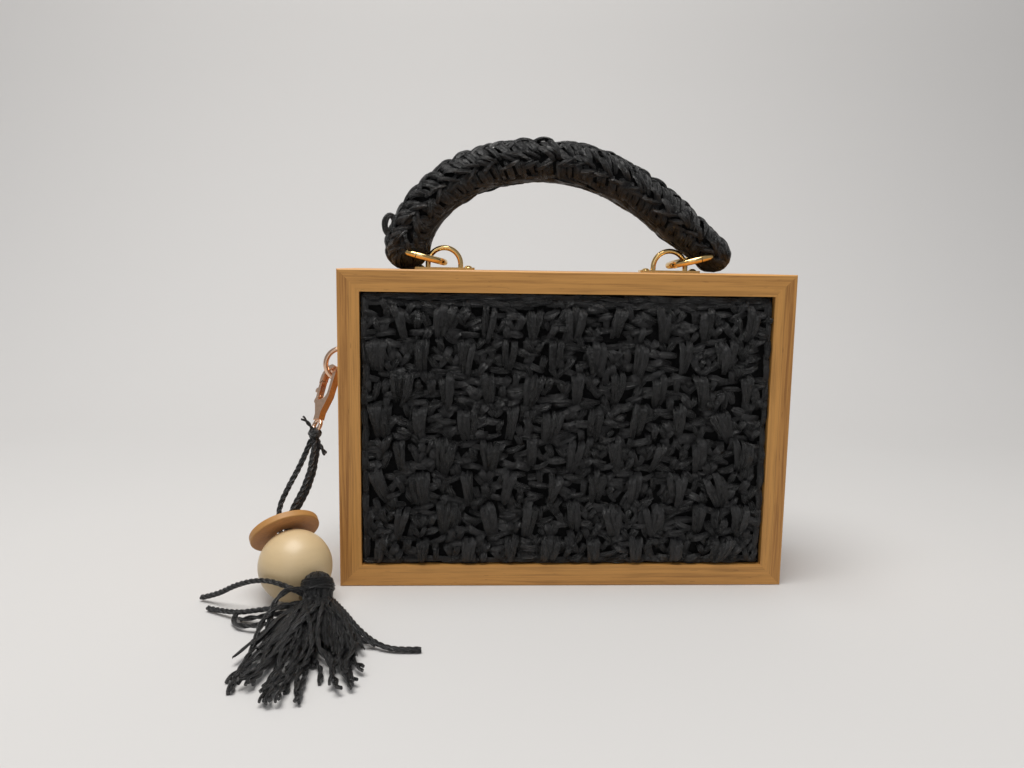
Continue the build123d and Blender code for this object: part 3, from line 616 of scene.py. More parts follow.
def framed(points):
    """Each point with two directions square to the line, carried along it without twisting."""
    last = len(points) - 1
    result = []
    first = None
    for i, point in enumerate(points):
        tangent = (points[min(i + 1, last)] - points[max(i - 1, 0)]).normalized()
        if first is None:
            first = tangent.orthogonal().normalized()
        first = (first - tangent * first.dot(tangent)).normalized()
        result.append((point, first, tangent.cross(first)))
    return result


def spaced(points, step):
    """The same line with points at even steps."""
    lengths = [0.0]
    for before, after in zip(points, points[1:]):
        lengths.append(lengths[-1] + (after - before).length)
    count = max(2, round(lengths[-1] / step))
    result, i = [], 0
    for n in range(count + 1):
        target = lengths[-1] * n / count
        while i < len(lengths) - 2 and lengths[i + 1] < target:
            i += 1
        span = lengths[i + 1] - lengths[i]
        result.append(points[i].lerp(points[i + 1], (target - lengths[i]) / span if span else 0.0))
    return result


def spline_line(points):
    """Points along the smooth NURBS line that has these as its control points."""
    curve = bpy.data.curves.new("route", "CURVE")
    curve.dimensions = "3D"
    curve.resolution_u = 24
    spline = curve.splines.new("NURBS")
    spline.points.add(len(points) - 1)
    for target, point in zip(spline.points, points):
        target.co = (*point, 1.0)
    spline.order_u = 3
    spline.use_endpoint_u = True
    guide = bpy.data.objects.new("route", curve)
    mesh = bpy.data.meshes.new_from_object(guide)
    line = [vertex.co.copy() for vertex in mesh.vertices]
    bpy.data.objects.remove(guide)
    bpy.data.curves.remove(curve)
    bpy.data.meshes.remove(mesh)
    return line


def beside_box(point):
    """A point in millimetres, whose x counts from the box's left side."""
    return Vector([value / 1000 for value in point]) + Vector((BOX_LOW[0], 0.0, 0.0))


def arch(share, peak):
    """Height of a strand along its length: up to its peak and slowly down again."""
    if share < peak:
        return math.sin(0.5 * math.pi * share / peak)
    return max(0.0, math.cos(0.5 * math.pi * (share - peak) / (1.0 - peak))) ** 0.8


def bell(share, rise=1.0):
    """0 at both ends and 1 in the middle; a smaller rise keeps it full for longer."""
    return max(0.0, math.sin(math.pi * share)) ** rise


# ---------------------------------------------------------------- stage
class BASKETBAG_OT_stage(Operator):
    """Set up the camera, the pale sweep and the soft lights"""

    bl_idname = "basketbag.stage"
    bl_label = "Stage"

    def execute(self, context):
        stage = context.scene.basketbag_stage
        self.add_camera(context.scene)
        self.add_sweep(context.scene, stage)
        self.add_lights(context.scene, stage)
        context.scene.view_settings.view_transform = "Standard"
        return {"FINISHED"}

    def add_camera(self, scene):
        data = bpy.data.cameras.new("camera")
        data.lens = CAMERA_LENS
        data.sensor_width = CAMERA_SENSOR
        data.clip_start = 0.01
        camera = bpy.data.objects.new("camera", data)
        yaw, down, roll = (math.radians(angle) for angle in CAMERA_ANGLES)
        level = Vector((math.cos(yaw), -math.sin(yaw), 0.0))
        ahead = Vector((math.sin(yaw), math.cos(yaw), 0.0))
        up = math.sin(down) * ahead + math.cos(down) * Vector((0.0, 0.0, 1.0))
        forward = math.cos(down) * ahead - math.sin(down) * Vector((0.0, 0.0, 1.0))
        right = math.cos(roll) * level - math.sin(roll) * up
        up = math.sin(roll) * level + math.cos(roll) * up
        turn = Matrix((right, up, -forward)).transposed().to_4x4()
        camera.matrix_world = Matrix.Translation(CAMERA_PLACE) @ turn
        scene.collection.objects.link(camera)
        scene.camera = camera

    def add_sweep(self, scene, stage):
        """A floor that curves up into a backdrop."""
        profile = [(-3.0, 0.0), (-1.0, 0.0), (0.0, 0.0), (0.30, 0.0)]
        for step in range(1, 13):
            angle = math.radians(90.0 * step / 12)
            profile.append((0.30 + 0.45 * math.sin(angle), 0.45 * (1.0 - math.cos(angle))))
        profile += [(0.75, 1.2), (0.75, 2.6)]
        columns = [-3.0 + 0.5 * i for i in range(13)]
        mesh = bpy.data.meshes.new("sweep")
        points = [(x, y, z) for y, z in profile for x in columns]
        wide = len(columns)
        faces = [
            (i * wide + j, i * wide + j + 1, (i + 1) * wide + j + 1, (i + 1) * wide + j)
            for i in range(len(profile) - 1)
            for j in range(wide - 1)
        ]
        mesh.from_pydata(points, [], faces)
        mesh.shade_smooth()
        mesh.materials.append(made("paper", paper_finish, stage.floor))
        sweep = bpy.data.objects.new("sweep", mesh)
        scene.collection.objects.link(sweep)

    def add_lights(self, scene, stage):
        for name, place, target, size, power, colour in (
            (
                "softbox_top", (-0.15, -0.22, 1.22), (0.0, 0.02, 0.0), 0.8, stage.top_light,
                (1.0, 0.985, 0.96),
            ),
            (
                "softbox_front", (-0.35, -1.5, 0.75), (0.0, 0.0, 0.08), 1.0, stage.front_light,
                (1.0, 0.99, 0.98),
            ),
        ):
            data = bpy.data.lights.new(name, "AREA")
            data.shape = "SQUARE"
            data.size = size
            data.energy = power
            data.color = colour
            light = bpy.data.objects.new(name, data)
            light.location = place
            aim = Vector(target) - Vector(place)
            light.rotation_euler = aim.to_track_quat("-Z", "Y").to_euler()
            scene.collection.objects.link(light)
        world = bpy.data.worlds.new("studio")
        world.use_nodes = True
        background = world.node_tree.nodes["Background"]
        background.inputs["Color"].default_value = (0.93, 0.95, 1.0, 1.0)
        background.inputs["Strength"].default_value = 0.30
        scene.world = world


# ---------------------------------------------------------------- charm
class BASKETBAG_OT_charm_cords(Operator):
    """Lay the twisted cords over the ball and the stray strands on the floor"""

    bl_idname = "basketbag.charm_cords"
    bl_label = "Charm cords"

    def execute(self, context):
        charm = context.scene.basketbag_charm
        # The cords' raffia is the same raffia painted at 1.1 times its colour: painted light.
        material = made("black_raffia_cord", raffia_finish, context.scene.basketbag_finishes, 1.1)
        for cords, diameter, far_end, lay, tone, step in (
            (CHARM_CORDS, charm.cord_diameter, "object", "hanging", 0.19, 0.21),
            (STRAY_STRANDS, charm.strand_diameter, "bare", "loose", 0.33, 0.17),
        ):
            for index, (name, (length, route)) in enumerate(cords.items()):
                shade = tone + step * index
                self.lay(name, length / 1000, route, diameter, material, far_end, lay, shade)
        return {"FINISHED"}

    def lay(self, name, length, route, diameter, material, far_end, lay, tone):
        line = spaced(spline_line([beside_box(point) for point in route]), 0.0006)
        mesh = StrandMesh()
        mesh.twist(line, diameter, diameter * 3.4, tone, plies=3, sides=7, phase=tone * 9.0)
        piece = mesh.build(name + "_strands", material)
        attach(piece, "charm")
        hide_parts(name)


class BASKETBAG_OT_tassel(Operator):
    """Tie the knot under the clasp, wrap the tassel's head and fan its strands over the floor"""

    bl_idname = "basketbag.tassel"
    bl_label = "Tassel and knot"

    def execute(self, context):
        charm = context.scene.basketbag_charm
        material = made("black_raffia", raffia_finish, context.scene.basketbag_finishes)
        chance = random.Random(charm.seed)
        self.tie_knot(material, chance)
        self.wrap_head(material, chance)
        self.fan_strands(material, chance, charm)
        return {"FINISHED"}

    def tie_knot(self, material, chance):
        middle = (KNOT_LOW + KNOT_HIGH) / 2
        mesh = StrandMesh()
        for lean, spin, size in (
            (0.2, 0.0, 0.0021), (1.2, 0.9, 0.0019), (-1.0, 2.2, 0.0020), (0.5, 1.7, 0.0016),
        ):
            turn = Matrix.Rotation(spin, 3, "Z") @ Matrix.Rotation(lean, 3, "X")
            loop = [
                middle + turn @ Vector((math.cos(a) * size, math.sin(a) * size, 0.0004 * math.sin(2 * a)))
                for a in (2 * math.pi * i / 20 for i in range(21))
            ]
            mesh.tube(loop, [0.00125] * 21, 0.2 + 0.2 * spin, sides=9, flat=0.8)
        for tip, drop in (((-0.0052, -0.0010, 0.0075), 0.002), ((0.0052, -0.0035, -0.0085), -0.001)):
            line = spline_line(
                [middle, middle + Vector(tip) * 0.4 + Vector((0, 0, drop)), middle + Vector(tip)]
            )
            line = spaced(line, 0.0005)
            mesh.twist(line, 0.0019, 0.006, chance.random(), plies=2, sides=6, open_end=1.2)
        for _, route in CHARM_CORDS.values():
            start = beside_box(route[0])
            line = spaced([middle, middle.lerp(start, 0.5), start], 0.0005)
            mesh.twist(line, 0.0024, 0.008, 0.5, sides=7)
        knot = mesh.build("charm_knot_raffia", material)
        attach(knot, "charm")
        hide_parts("charm_knot")

    def wrap_head(self, material, chance):
        middle = (HEAD_LOW + HEAD_HIGH) / 2 + Vector((-0.0006, 0.0004, 0.0046))
        radius = (HEAD_HIGH.x - HEAD_LOW.x) / 2 * 0.86
        axis = Vector((0.10, -0.50, -0.86)).normalized()
        side = axis.cross(Vector((0, 0, 1))).normalized()
        lift = side.cross(axis).normalized()

        def skin(around, along, swell=1.0):
            """A point over the head: around it, and along its axis from the top (-1) to the neck (+1)."""
            width = radius * max(0.0, 1.0 - along * along) ** 0.35 * swell
            if along > 0.35:
                width = max(width, radius * 0.92 * swell)
            spoke = side * math.cos(around) + lift * math.sin(around)
            point = middle + axis * (along * radius) + spoke * width
            point.z = max(point.z, 0.0011)
            return point, spoke

        mesh = StrandMesh()
        rows = []
        for i in range(13):
            along = -0.99 + 2.20 * i / 12
            rows.append([skin(2 * math.pi * j / 24, along, 0.86)[0] for j in range(24)])
        mesh.grid(rows, [0.001 * i for i in range(13)], 0.4, closed=True, flip=True)
        for n in range(26):
            around = 2 * math.pi * n / 26 + chance.uniform(-0.08, 0.08)
            drift = chance.uniform(-0.25, 0.25)
            points, outs, widths = [], [], []
            for i in range(11):
                share = i / 10
                along = -0.98 + 2.25 * share
                point, spoke = skin(around + drift * share, along, 0.92 + 0.03 * chance.random())
                points.append(point)
                outs.append((spoke + axis * (along if along < 0.35 else 0.0) * 0.8).normalized())
                widths.append(0.0026 * (0.55 + 0.45 * bell(share, 0.5)))
            mesh.ribbon(points, outs, widths, 0.00045, chance.random(), roll=chance.uniform(-0.25, 0.25))
        for n in range(5):
            along = -0.50 + 0.15 * n
            points, outs = [], []
            for i in range(33):
                around = 2 * math.pi * i / 32
                point, spoke = skin(around, along + 0.02 * math.sin(around + n), 1.05)
                points.append(point)
                outs.append(spoke)
            mesh.ribbon(points, outs, [0.00125] * 33, 0.0004, 0.3 + 0.1 * n)
        head = mesh.build("tassel_head_raffia", material)
        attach(head, "charm")
        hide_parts("tassel_head")

    def fan_strands(self, material, chance, charm):
        uniform = chance.uniform
        neck = (HEAD_LOW + HEAD_HIGH) / 2 + Vector((0.0008, -0.0060, -0.0010))
        mesh = StrandMesh()
        for n in range(charm.strands):
            share = (n + 0.5) / charm.strands * (len(SKIRT_TIPS) - 1)
            step = min(int(share), len(SKIRT_TIPS) - 2)
            tip = Vector(SKIRT_TIPS[step]).lerp(Vector(SKIRT_TIPS[step + 1]), share - step).to_3d()
            tip = beside_box(tip)
            reach = chance.choice((1.0, 0.97, 0.92, 0.86, 0.78, 0.66))
            start = neck + Vector((uniform(-0.0050, 0.0050), 0.0, uniform(-0.0040, 0.0045)))
            tip = start.lerp(tip, reach)
            tip.x += uniform(-0.0030, 0.0030)
            ground = 0.0013 + 0.0024 * chance.random() ** 2 + 0.0006 * (n % 3)
            tip.z = ground * 0.8
            run = tip - start
            sway = Vector((-run.y, run.x, 0.0)).normalized() * uniform(-0.0050, 0.0050)
            line = spline_line(
                [
                    start,
                    start.lerp(tip, 0.16) + Vector((0, 0, 0.0035)),
                    start.lerp(tip, 0.40) + sway * 0.8 + Vector((0, 0, 0.0022)),
                    start.lerp(tip, 0.62) + sway + Vector((0, 0, 0.0006)),
                    start.lerp(tip, 0.82) - sway * 0.5,
                    tip,
                ]
            )
            line = spaced(line, 0.0013)
            for point in line:
                point.z = max(point.z, ground)
            mesh.twist(
                line, charm.strand_diameter * uniform(0.86, 1.08), 0.0125, chance.random(), plies=2,
                sides=6, phase=uniform(0, 6.3), open_end=0.5,
            )
        for route in LOOSE_STRANDS:
            line = spaced(spline_line([beside_box(point) for point in route]), 0.0013)
            mesh.twist(line, charm.strand_diameter, 0.0125, chance.random(), sides=6, open_end=0.6)
        for n in range(42):
            share = (n + 0.5) / 42
            side = -0.0100 + 0.020 * share
            start = neck + Vector((side * 0.45, 0.003, 0.0042 - 20.0 * side * side))
            length = uniform(0.016, 0.042)
            end = start + Vector((side * (0.8 + 32.0 * length), -length, 0.0))
            end.z = 0.0030 + 0.0034 * bell(share) * (1.0 - length * 14.0)
            line = spaced(
                spline_line(
                    [start, start.lerp(end, 0.3) + Vector((0, 0, 0.0022)), start.lerp(end, 0.7), end]
                ),
                0.0018,
            )
            outs = [Vector((side * 40.0, 0.0, 1.0)).normalized()] * len(line)
            widths = [0.0034 * (0.45 + 0.55 * bell(i / (len(line) - 1), 0.7)) for i in range(len(line))]
            mesh.ribbon(line, outs, widths, 0.0007, chance.random(), roll=uniform(-0.4, 0.4))
        skirt = mesh.build("tassel_skirt_strands", material)
        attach(skirt, "charm")
        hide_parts("tassel_skirt")


class BASKETBAG_OT_charm_beads(Operator):
    """Finish the wooden disc, the lacquered ball and the clasp that the charm hangs from"""

    bl_idname = "basketbag.charm_beads"
    bl_label = "Charm beads and clasp"

    def execute(self, context):
        finishes = context.scene.basketbag_finishes
        dress("charm_disc", made("disc_wood", disc_finish, finishes))
        dress("charm_ball", made("cream_ball", ball_finish, finishes))
        rose = made("rose_gold", metal_finish, finishes.rose_gold, 0.10)
        for node in ("clasp_body", "clasp_gate", "clasp_pin", "strap_loop_side_left"):
            dress(node, rose)
        return {"FINISHED"}


# ---------------------------------------------------------------- box
class BASKETBAG_OT_boards(Operator):
    """Finish the bamboo boards and the stained backing boards"""

    bl_idname = "basketbag.boards"
    bl_label = "Boards"

    def execute(self, context):
        finishes = context.scene.basketbag_finishes
        for side, nodes in {
            "top": ("case_top_board", "lid_top_rail"),
            "bottom": ("case_bottom_board", "lid_bottom_rail"),
            "left": ("case_left_board", "lid_left_stile"),
            "right": ("case_right_board", "lid_right_stile"),
        }.items():
            for node in nodes:
                dress(node, made("bamboo_" + side, bamboo_finish, side, finishes))
        for node in ("front_backing_board", "back_backing_board"):
            dress(node, made("backing", backing_finish, finishes))
        return {"FINISHED"}


class BASKETBAG_OT_hardware(Operator):
    """Finish the gilt rings and loops, the hinges, the screws and the magnets"""

    bl_idname = "basketbag.hardware"
    bl_label = "Hardware"

    def execute(self, context):
        finishes = context.scene.basketbag_finishes
        gold = made("gold", metal_finish, finishes.gold, 0.07)
        steel = made("steel", metal_finish, finishes.steel, 0.28)
        for node in (
            "strap_loop_top_left", "strap_loop_top_right", "strap_loop_side_right", "strap_loop_screws",
            "ring_left", "ring_right", "ring_pin_left", "ring_pin_right", "ring_gate_left", "ring_gate_right",
        ):
            dress(node, gold)
        for node in (
            "case_magnets", "lid_magnets", "hinge_leaf_case_left", "hinge_leaf_case_right",
            "hinge_leaf_lid_left", "hinge_leaf_lid_right", "hinge_pin_left", "hinge_pin_right",
            "hinge_screws_case", "hinge_screws_lid",
        ):
            dress(node, steel)
        return {"FINISHED"}


GROUND_DEPTH = 0.0026  # the ground's distance behind the panel's face
TOP_EDGE = 0.0055  # height of the flat stitches along the top
BORDER_WIDTH = 0.0032  # width of the flat stitches along the edges
LEAF_STEPS = 8  # lengthwise steps of one strand
LEAF_CROWN = 0.0007  # how far a panel strand's middle stands above its edges


class PanelFace:
    """One side of the box's crochet: points by their place across and up the panel, and out of it."""

    def __init__(self, low, high, facing):
        self.middle = (low + high) / 2
        self.half = Vector(((high.x - low.x) / 2, 0.0, (high.z - low.z) / 2))
        self.facing = facing
        self.ground = (low.y if facing < 0 else high.y) - facing * GROUND_DEPTH
        self.rear = high.y if facing < 0 else low.y
        self.right = Vector((-facing, 0.0, 0.0))
        self.up = Vector((0.0, 0.0, 1.0))
        self.out = Vector((0.0, facing, 0.0))

    def point(self, across, up, out):
        return Vector((self.middle.x, self.ground, self.middle.z)) + self.right * across + self.up * up + (
            self.out * out
        )


class BASKETBAG_OT_weave(Operator):
    """Crochet the front and the back panel from flat raffia strands"""

    bl_idname = "basketbag.weave"
    bl_label = "Crocheted panels"

    def execute(self, context):
        weave = context.scene.basketbag_weave
        finishes = context.scene.basketbag_finishes
        strand = made("black_raffia", raffia_finish, finishes)
        # The ground sheet's finish paints the shade in the gaps between the raised stitches.
        ground = made("raffia_ground", shaded_ground_finish, finishes)
        for name, body, low, high, facing in (
            ("front_weave", "case", PANEL_LOW, PANEL_HIGH, -1.0),
            ("back_weave", "lid", BACK_LOW, BACK_HIGH, 1.0),
        ):
            face = PanelFace(low, high, facing)
            chance = random.Random(weave.seed + (0 if facing < 0 else 100))
            raised = self.crochet(face, weave, chance).build(name + "_stitches", strand)
            under = self.ground_sheet(face).build(name + "_ground", ground)
            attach(raised, body)
            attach(under, body)
            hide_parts(name)
        return {"FINISHED"}

    def leaf(self, mesh, face, middle, length, width, lean, low, lift, chance, point, peak=0.5):
        """One flat strand that rises out of the ground and dives back into it."""
        turn = math.radians(lean)
        direction = Vector((math.sin(turn), -math.cos(turn)))
        points, widths = [], []
        bend = chance.uniform(-0.0007, 0.0007)
        for i in range(LEAF_STEPS + 1):
            share = i / LEAF_STEPS
            along = (share - 0.5) * length
            bow = bend * bell(share)
            across = middle[0] + direction.x * along - direction.y * bow
            up = middle[1] + direction.y * along + direction.x * bow
            across = max(width / 2 - face.half.x, min(face.half.x - width / 2, across))
            up = max(width / 2 - face.half.z, min(face.half.z - width / 2, up))
            points.append(face.point(across, up, low + lift * arch(share, peak)))
            widths.append(width * (0.78 + 0.22 * bell(share, 0.5)) * (1.0 - point * share))
        roll = chance.uniform(-0.34, 0.34)
        mesh.ribbon(points, [face.out] * len(points), widths, LEAF_CROWN, chance.random(), roll=roll)

    def bundle(self, mesh, face, middle, weave, chance):
        """Two or three long strands side by side that narrow towards their lower end."""
        uniform = chance.uniform
        count = chance.choice((2, 2, 3))
        lean = chance.gauss(0.0, 9.0)
        width = weave.leaf_width
        for n in range(count):
            offset = (n - (count - 1) / 2) * width * 0.62
            shift = (middle[0] + offset, middle[1] + uniform(-0.0014, 0.0014))
            self.leaf(
                mesh, face, shift, weave.leaf_length * uniform(0.86, 1.08),
                width * uniform(0.90, 1.25), lean - offset * 3600.0 + chance.gauss(0.0, 2.5), 0.0006,
                weave.relief * uniform(0.92, 1.20), chance, point=0.24, peak=0.15,
            )

    def crochet(self, face, weave, chance):
        mesh = StrandMesh()
        pitch, rise = weave.column_pitch, weave.row_pitch
        top = face.half.z - TOP_EDGE
        rows = int((2 * face.half.z - TOP_EDGE) / rise + 0.5)
        columns = int(2 * face.half.x / pitch) + 2
        for row in range(rows):
            up = top - rise * (row + 0.5)
            start = -face.half.x + pitch * (0.42 if row % 2 else -0.08)
            for column in range(columns):
                across = start + pitch * column + chance.uniform(-0.0012, 0.0012)
                if across > face.half.x + pitch * 0.3:
                    continue
                self.fill(mesh, face, (across + pitch / 2, up), weave, chance)
                if -face.half.x + 0.004 < across < face.half.x - 0.004:
                    self.bundle(mesh, face, (across, up + chance.uniform(-0.0010, 0.0010)), weave, chance)
        self.border(mesh, face, weave, chance)
        return mesh

    def fill(self, mesh, face, middle, weave, chance):
        """Short uneven stitches in the gap between two bundles: bars, forks and stubs."""
        uniform = chance.uniform
        levels = 10
        for n in range(levels):
            across = middle[0] + (0.0032 if n % 2 else -0.0032) + uniform(-0.0026, 0.0026)
            up = middle[1] + ((n + 0.5) / levels - 0.5) * weave.row_pitch + uniform(-0.0008, 0.0008)
            if abs(up) > face.half.z - 0.002 or abs(across) > face.half.x - 0.001:
                continue
            kind = chance.random()
            lift = weave.relief * uniform(0.25, 0.75)
            if kind < 0.52:
                self.leaf(
                    mesh, face, (across, up), uniform(0.0070, 0.0104), uniform(0.0030, 0.0042),
                    90.0 + uniform(-26.0, 26.0), 0.0, lift, chance, point=0.20,
                    peak=uniform(0.3, 0.7),
                )
            elif kind < 0.80:
                open_by = uniform(20.0, 42.0)
                for side in (-1, 1):
                    self.leaf(
                        mesh, face, (across + side * 0.0014, up + 0.0006), uniform(0.0056, 0.0076),
                        uniform(0.0030, 0.0042), -side * open_by, 0.0002,
                        lift * uniform(0.8, 1.1), chance, point=0.35, peak=0.3,
                    )
            else:
                self.leaf(
                    mesh, face, (across, up), uniform(0.0060, 0.0085), uniform(0.0032, 0.0044),
                    uniform(-28.0, 28.0), 0.0002, lift * 1.1, chance, point=0.30, peak=0.25,
                )

    def border(self, mesh, face, weave, chance):
        """Flat chain stitches along the four edges."""
        uniform = chance.uniform
        for up in (face.half.z - 0.0014, face.half.z - 0.0042):
            across = -face.half.x + 0.004
            while across < face.half.x - 0.003:
                length = uniform(0.0105, 0.0150)
                self.leaf(
                    mesh, face, (across, up + uniform(-0.0004, 0.0004)), length, BORDER_WIDTH,
                    90.0 + uniform(-7.0, 7.0), 0.0006, weave.relief * uniform(0.10, 0.30),
                    chance, point=0.10,
                )
                across += length * 0.72
        across = -face.half.x + 0.004
        while across < face.half.x - 0.003:
            length = uniform(0.0100, 0.0130)
            self.leaf(
                mesh, face, (across, -face.half.z + 0.0018), length, BORDER_WIDTH,
                90.0 + uniform(-8.0, 8.0), 0.0004, weave.relief * 0.25, chance, point=0.10,
            )
            across += length * 0.75
        for side in (-1, 1):
            up = face.half.z - 0.006
            while up > -face.half.z + 0.005:
                length = uniform(0.0100, 0.0140)
                self.leaf(
                    mesh, face, (side * (face.half.x - 0.0018), up), length, BORDER_WIDTH,
                    uniform(-6.0, 6.0), 0.0004, weave.relief * 0.45, chance, point=0.15,
                )
                up -= length * 0.78

    def ground_sheet(self, face):
        """The close ground under the stitches, turned back into the frame at its edges."""
        mesh = StrandMesh()
        wide, high = 60, 42
        rows = []
        for i in range(high + 1):
            up = face.half.z * (1.0 - 2.0 * i / high)
            row = []
            for j in range(wide + 1):
                across = face.half.x * (2.0 * j / wide - 1.0)
                puff = 0.0007 * noise.noise(Vector((across * 260.0, up * 260.0, face.facing)))
                row.append(face.point(across, up, puff))
            rows.append(row)
        mesh.grid(rows, [0.003 * i for i in range(high + 1)], 0.4)
        depth = abs(face.rear - face.ground)
        right, left = [row[-1] for row in rows[1:]], [row[0] for row in rows[::-1][1:]]
        rim = rows[0] + right + rows[-1][::-1][1:] + left
        back = [point - face.out * depth for point in rim]
        mesh.grid([rim, back], [0.0, depth], 0.4)
        return mesh


# ---------------------------------------------------------------- handle
END_REACH = (0.0112, 0.0090)  # lengths of the handle's rounded ends, left and right
CORE_SHARE = 0.88  # the core's radius, as a share of the handle's
CORE_ROWS, CORE_SIDES = 90, 28


class HandleTube:
    """The handle's round body: points by their distance along it and their angle round it."""

    def __init__(self, handle):
        line = [Vector((x / 1000, 0.0, BOARD_TOP + rise / 1000)) for x, rise in HANDLE_LINE]
        self.line = spaced(spline_line(line), 0.0010)
        self.step = (self.line[1] - self.line[0]).length
        self.length = self.step * (len(self.line) - 1)
        self.radius = handle.radius
        self.end_radius = handle.end_radius

    def width(self, along):
        """Radius of the handle at a distance along it, with rounded ends."""
        share = along / self.length
        radius = self.radius * (1.06 - 0.06 * min(1.0, share * 2.5))
        taper = min(1.0, max(0.0, (share - 0.82) / 0.14))
        radius += (self.end_radius - radius) * taper
        for inset, reach in zip((along, self.length - along), END_REACH):
            if inset < reach:
                short = 1.0 - max(0.0, inset) / reach
                radius *= math.sqrt(max(0.0, 1.0 - short * short))
        return radius

    def at(self, along, angle, lift=0.0, share=1.0):
        """A point on the handle and where it faces; 0 degrees is the front, 90 the outer side."""
        along = min(max(along, 0.0), self.length)
        place = along / self.step
        i = min(int(place), len(self.line) - 2)
        middle = self.line[i].lerp(self.line[i + 1], place - i)
        before, after = self.line[max(i - 2, 0)], self.line[min(i + 3, len(self.line) - 1)]
        tangent = (after - before).normalized()
        outer = Vector((-tangent.z, 0.0, tangent.x))
        turn = math.radians(angle)
        spoke = Vector((0.0, -1.0, 0.0)) * math.cos(turn) + outer * math.sin(turn)
        width = self.width(along) * share
        return middle + spoke * (width + lift * min(1.0, width / 0.004)), spoke


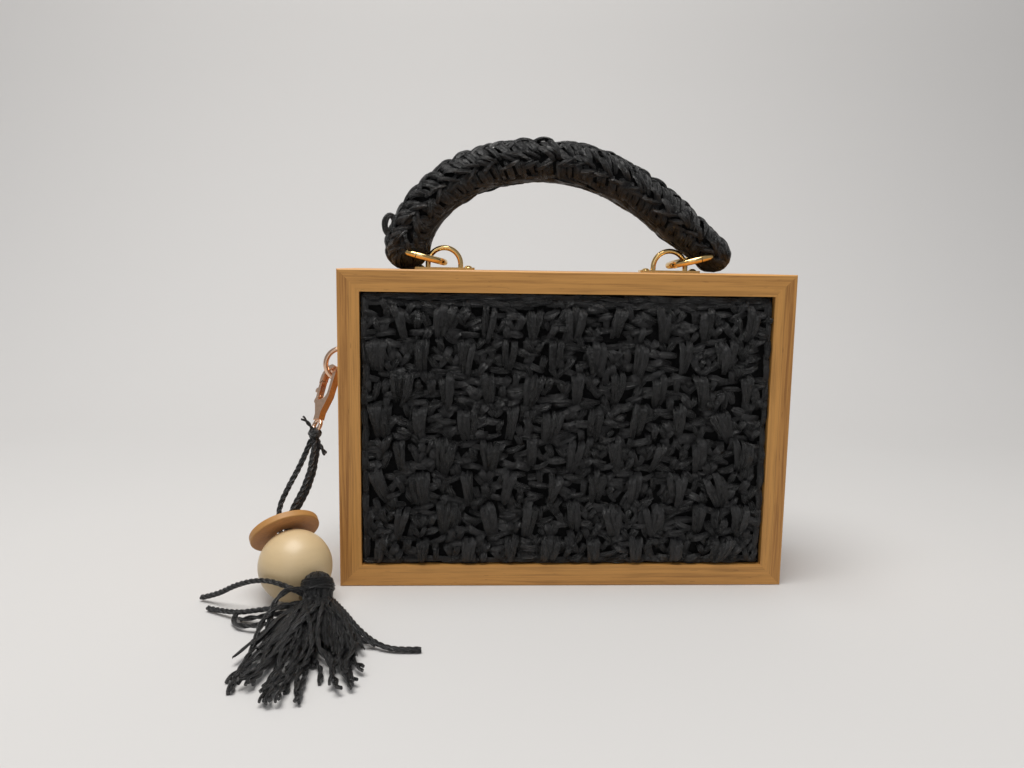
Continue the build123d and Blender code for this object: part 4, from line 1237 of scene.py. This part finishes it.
class BASKETBAG_OT_handle(Operator):
    """Crochet the handle: chain ridges along it, rounded stitches beside them and smooth wraps below"""

    bl_idname = "basketbag.handle"
    bl_label = "Crocheted handle"

    def execute(self, context):
        handle = context.scene.basketbag_handle
        finishes = context.scene.basketbag_finishes
        tube = HandleTube(handle)
        chance = random.Random(handle.seed)
        core = StrandMesh()
        distances = [tube.length * i / CORE_ROWS for i in range(CORE_ROWS + 1)]
        rows = [
            [tube.at(along, 360.0 * j / CORE_SIDES, share=CORE_SHARE)[0] for j in range(CORE_SIDES)]
            for along in distances
        ]
        core.grid(rows, distances, 0.35, closed=True, flip=True)
        # The core under the stitches takes the same painted-shade ground finish.
        core = core.build("handle_core", made("raffia_ground", shaded_ground_finish, finishes))
        # The handle's raffia is the same raffia painted at 0.45 of its colour: painted shade.
        stitches = self.crochet(tube, handle, chance).build(
            "handle_stitches", made("black_raffia_handle", raffia_finish, finishes, 0.45)
        )
        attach(core, "handle")
        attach(stitches, "handle")
        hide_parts("handle", "handle_fold_left", "handle_fold_right")
        return {"FINISHED"}

    def leaf(self, mesh, tube, start, end, width, lift, tone, share, point, crown, roll=0.0):
        """A strand over the handle from one place to another, each a distance and an angle."""
        points, outs, widths = [], [], []
        for i in range(LEAF_STEPS + 1):
            part = i / LEAF_STEPS
            along = start[0] + (end[0] - start[0]) * part
            angle = start[1] + (end[1] - start[1]) * part
            point_on, out = tube.at(along, angle, lift * bell(part, 0.6), share)
            points.append(point_on)
            outs.append(out)
            widths.append(width * (0.66 + 0.34 * bell(part, 0.5)) * (1.0 - point * part))
        mesh.ribbon(points, outs, widths, crown, tone, roll=roll)

    def crochet(self, tube, handle, chance):
        uniform = chance.uniform
        mesh = StrandMesh()
        pitch = handle.stitch_pitch
        count = int(tube.length / pitch)
        for n in range(-1, count + 1):
            here = pitch * n

            def stitch(start, end, width, lift, share, point, crown=0.0009):
                """One strand of this stitch, seen on both faces of the handle."""
                for mirrored in (False, True):
                    for beside in (-0.24, 0.24):
                        jitter = beside * width + uniform(-0.0015, 0.0015)
                        places = []
                        for along, angle in (start, end):
                            angle += uniform(-12.0, 12.0)
                            places.append((here + along + jitter, 180.0 - angle if mirrored else angle))
                        self.leaf(
                            mesh, tube, places[0], places[1], width * uniform(0.52, 0.74),
                            lift * uniform(0.5, 1.5), chance.random(), share, point, crown,
                            uniform(-0.65, 0.65),
                        )

            stitch((-0.0030, -70.0), (0.0100, -76.0), 0.0062, 0.0003, 0.88, 0.1)
            stitch((-0.0010, -52.0), (0.0090, -58.0), 0.0054, 0.0004, 0.89, 0.1)
            for half in (0.0, pitch / 2):
                stitch((half, -4.0), (half + 0.0022, -50.0), 0.0050, 0.0009, 0.90, 0.3)
                stitch((half - 0.0016, 66.0), (half + 0.0030, 16.0), 0.0054, 0.0012, 0.91, 0.3)
            stitch((-0.0005, 26.0), (0.0070, 4.0), 0.0038, 0.0016, 0.95, 0.2)
            stitch((-0.0005, -16.0), (0.0070, 3.0), 0.0036, 0.0014, 0.95, 0.2)
            stitch((-0.0018, 58.0), (0.0066, 88.0), 0.0046, 0.0010, 0.94, 0.2, 0.0010)
        for turn in range(9):
            angle = 40.0 * turn + uniform(-8.0, 8.0)
            for start, end, width in (
                ((0.0003, angle - 12.0), (0.0150, angle + 14.0), 0.0052),
                ((tube.length - 0.0003, angle), (tube.length - 0.0130, angle + 18.0), 0.0050),
            ):
                self.leaf(mesh, tube, start, end, width, 0.0006, chance.random(), 0.91, 0.1, 0.0009)
        self.loose_loop(mesh, tube)
        return mesh

    def loose_loop(self, mesh, tube):
        """The stray loop of raffia that stands off the handle's left end."""
        foot, out = tube.at(0.0160, 90.0)
        middle = foot + out * 0.0010
        points, outs = [], []
        for i in range(17):
            angle = math.radians(-70.0 + 290.0 * i / 16)
            spoke = Vector((-math.cos(angle) * 0.8, 0.0, math.sin(angle)))
            points.append(middle + Vector((spoke.x * 0.0030, -0.0030 + 0.0006 * i / 16, spoke.z * 0.0042)))
            outs.append(Vector((0.0, -1.0, 0.3)).normalized())
        mesh.ribbon(points, outs, [0.0029] * 17, 0.0003, 0.72)


# ---------------------------------------------------------------- panel in the sidebar
class BASKETBAG_PT_sidebar(Panel):
    """Lists the bag's pieces"""

    bl_idname = "BASKETBAG_PT_sidebar"
    bl_label = "Basket box bag"
    bl_space_type = "VIEW_3D"
    bl_region_type = "UI"
    bl_category = "Basket bag"

    def draw(self, context):
        for piece in PIECES:
            self.layout.operator(piece.bl_idname, text=piece.bl_label)
        for name, group in SETTINGS.items():
            box = self.layout.box()
            box.label(text=group.__doc__)
            for setting in group.__annotations__:
                box.prop(getattr(context.scene, name), setting)


SETTINGS = {
    "basketbag_finishes": BasketBagFinishes,
    "basketbag_weave": BasketBagWeave,
    "basketbag_handle": BasketBagHandle,
    "basketbag_charm": BasketBagCharm,
    "basketbag_stage": BasketBagStage,
}
PIECES = (
    BASKETBAG_OT_stage,
    BASKETBAG_OT_charm_cords,
    BASKETBAG_OT_tassel,
    BASKETBAG_OT_charm_beads,
    BASKETBAG_OT_boards,
    BASKETBAG_OT_weave,
    BASKETBAG_OT_handle,
    BASKETBAG_OT_hardware,
)


def register():
    for group in (*SETTINGS.values(), *PIECES, BASKETBAG_PT_sidebar):
        bpy.utils.register_class(group)
    for name, group in SETTINGS.items():
        setattr(bpy.types.Scene, name, PointerProperty(type=group))


def unregister():
    for name in SETTINGS:
        delattr(bpy.types.Scene, name)
    for group in reversed((*SETTINGS.values(), *PIECES, BASKETBAG_PT_sidebar)):
        bpy.utils.unregister_class(group)


def main():
    """Build every piece in order."""
    register()
    for piece in PIECES:
        category, name = piece.bl_idname.split(".")
        getattr(getattr(bpy.ops, category), name)()


if __name__ == "__main__":
    main()
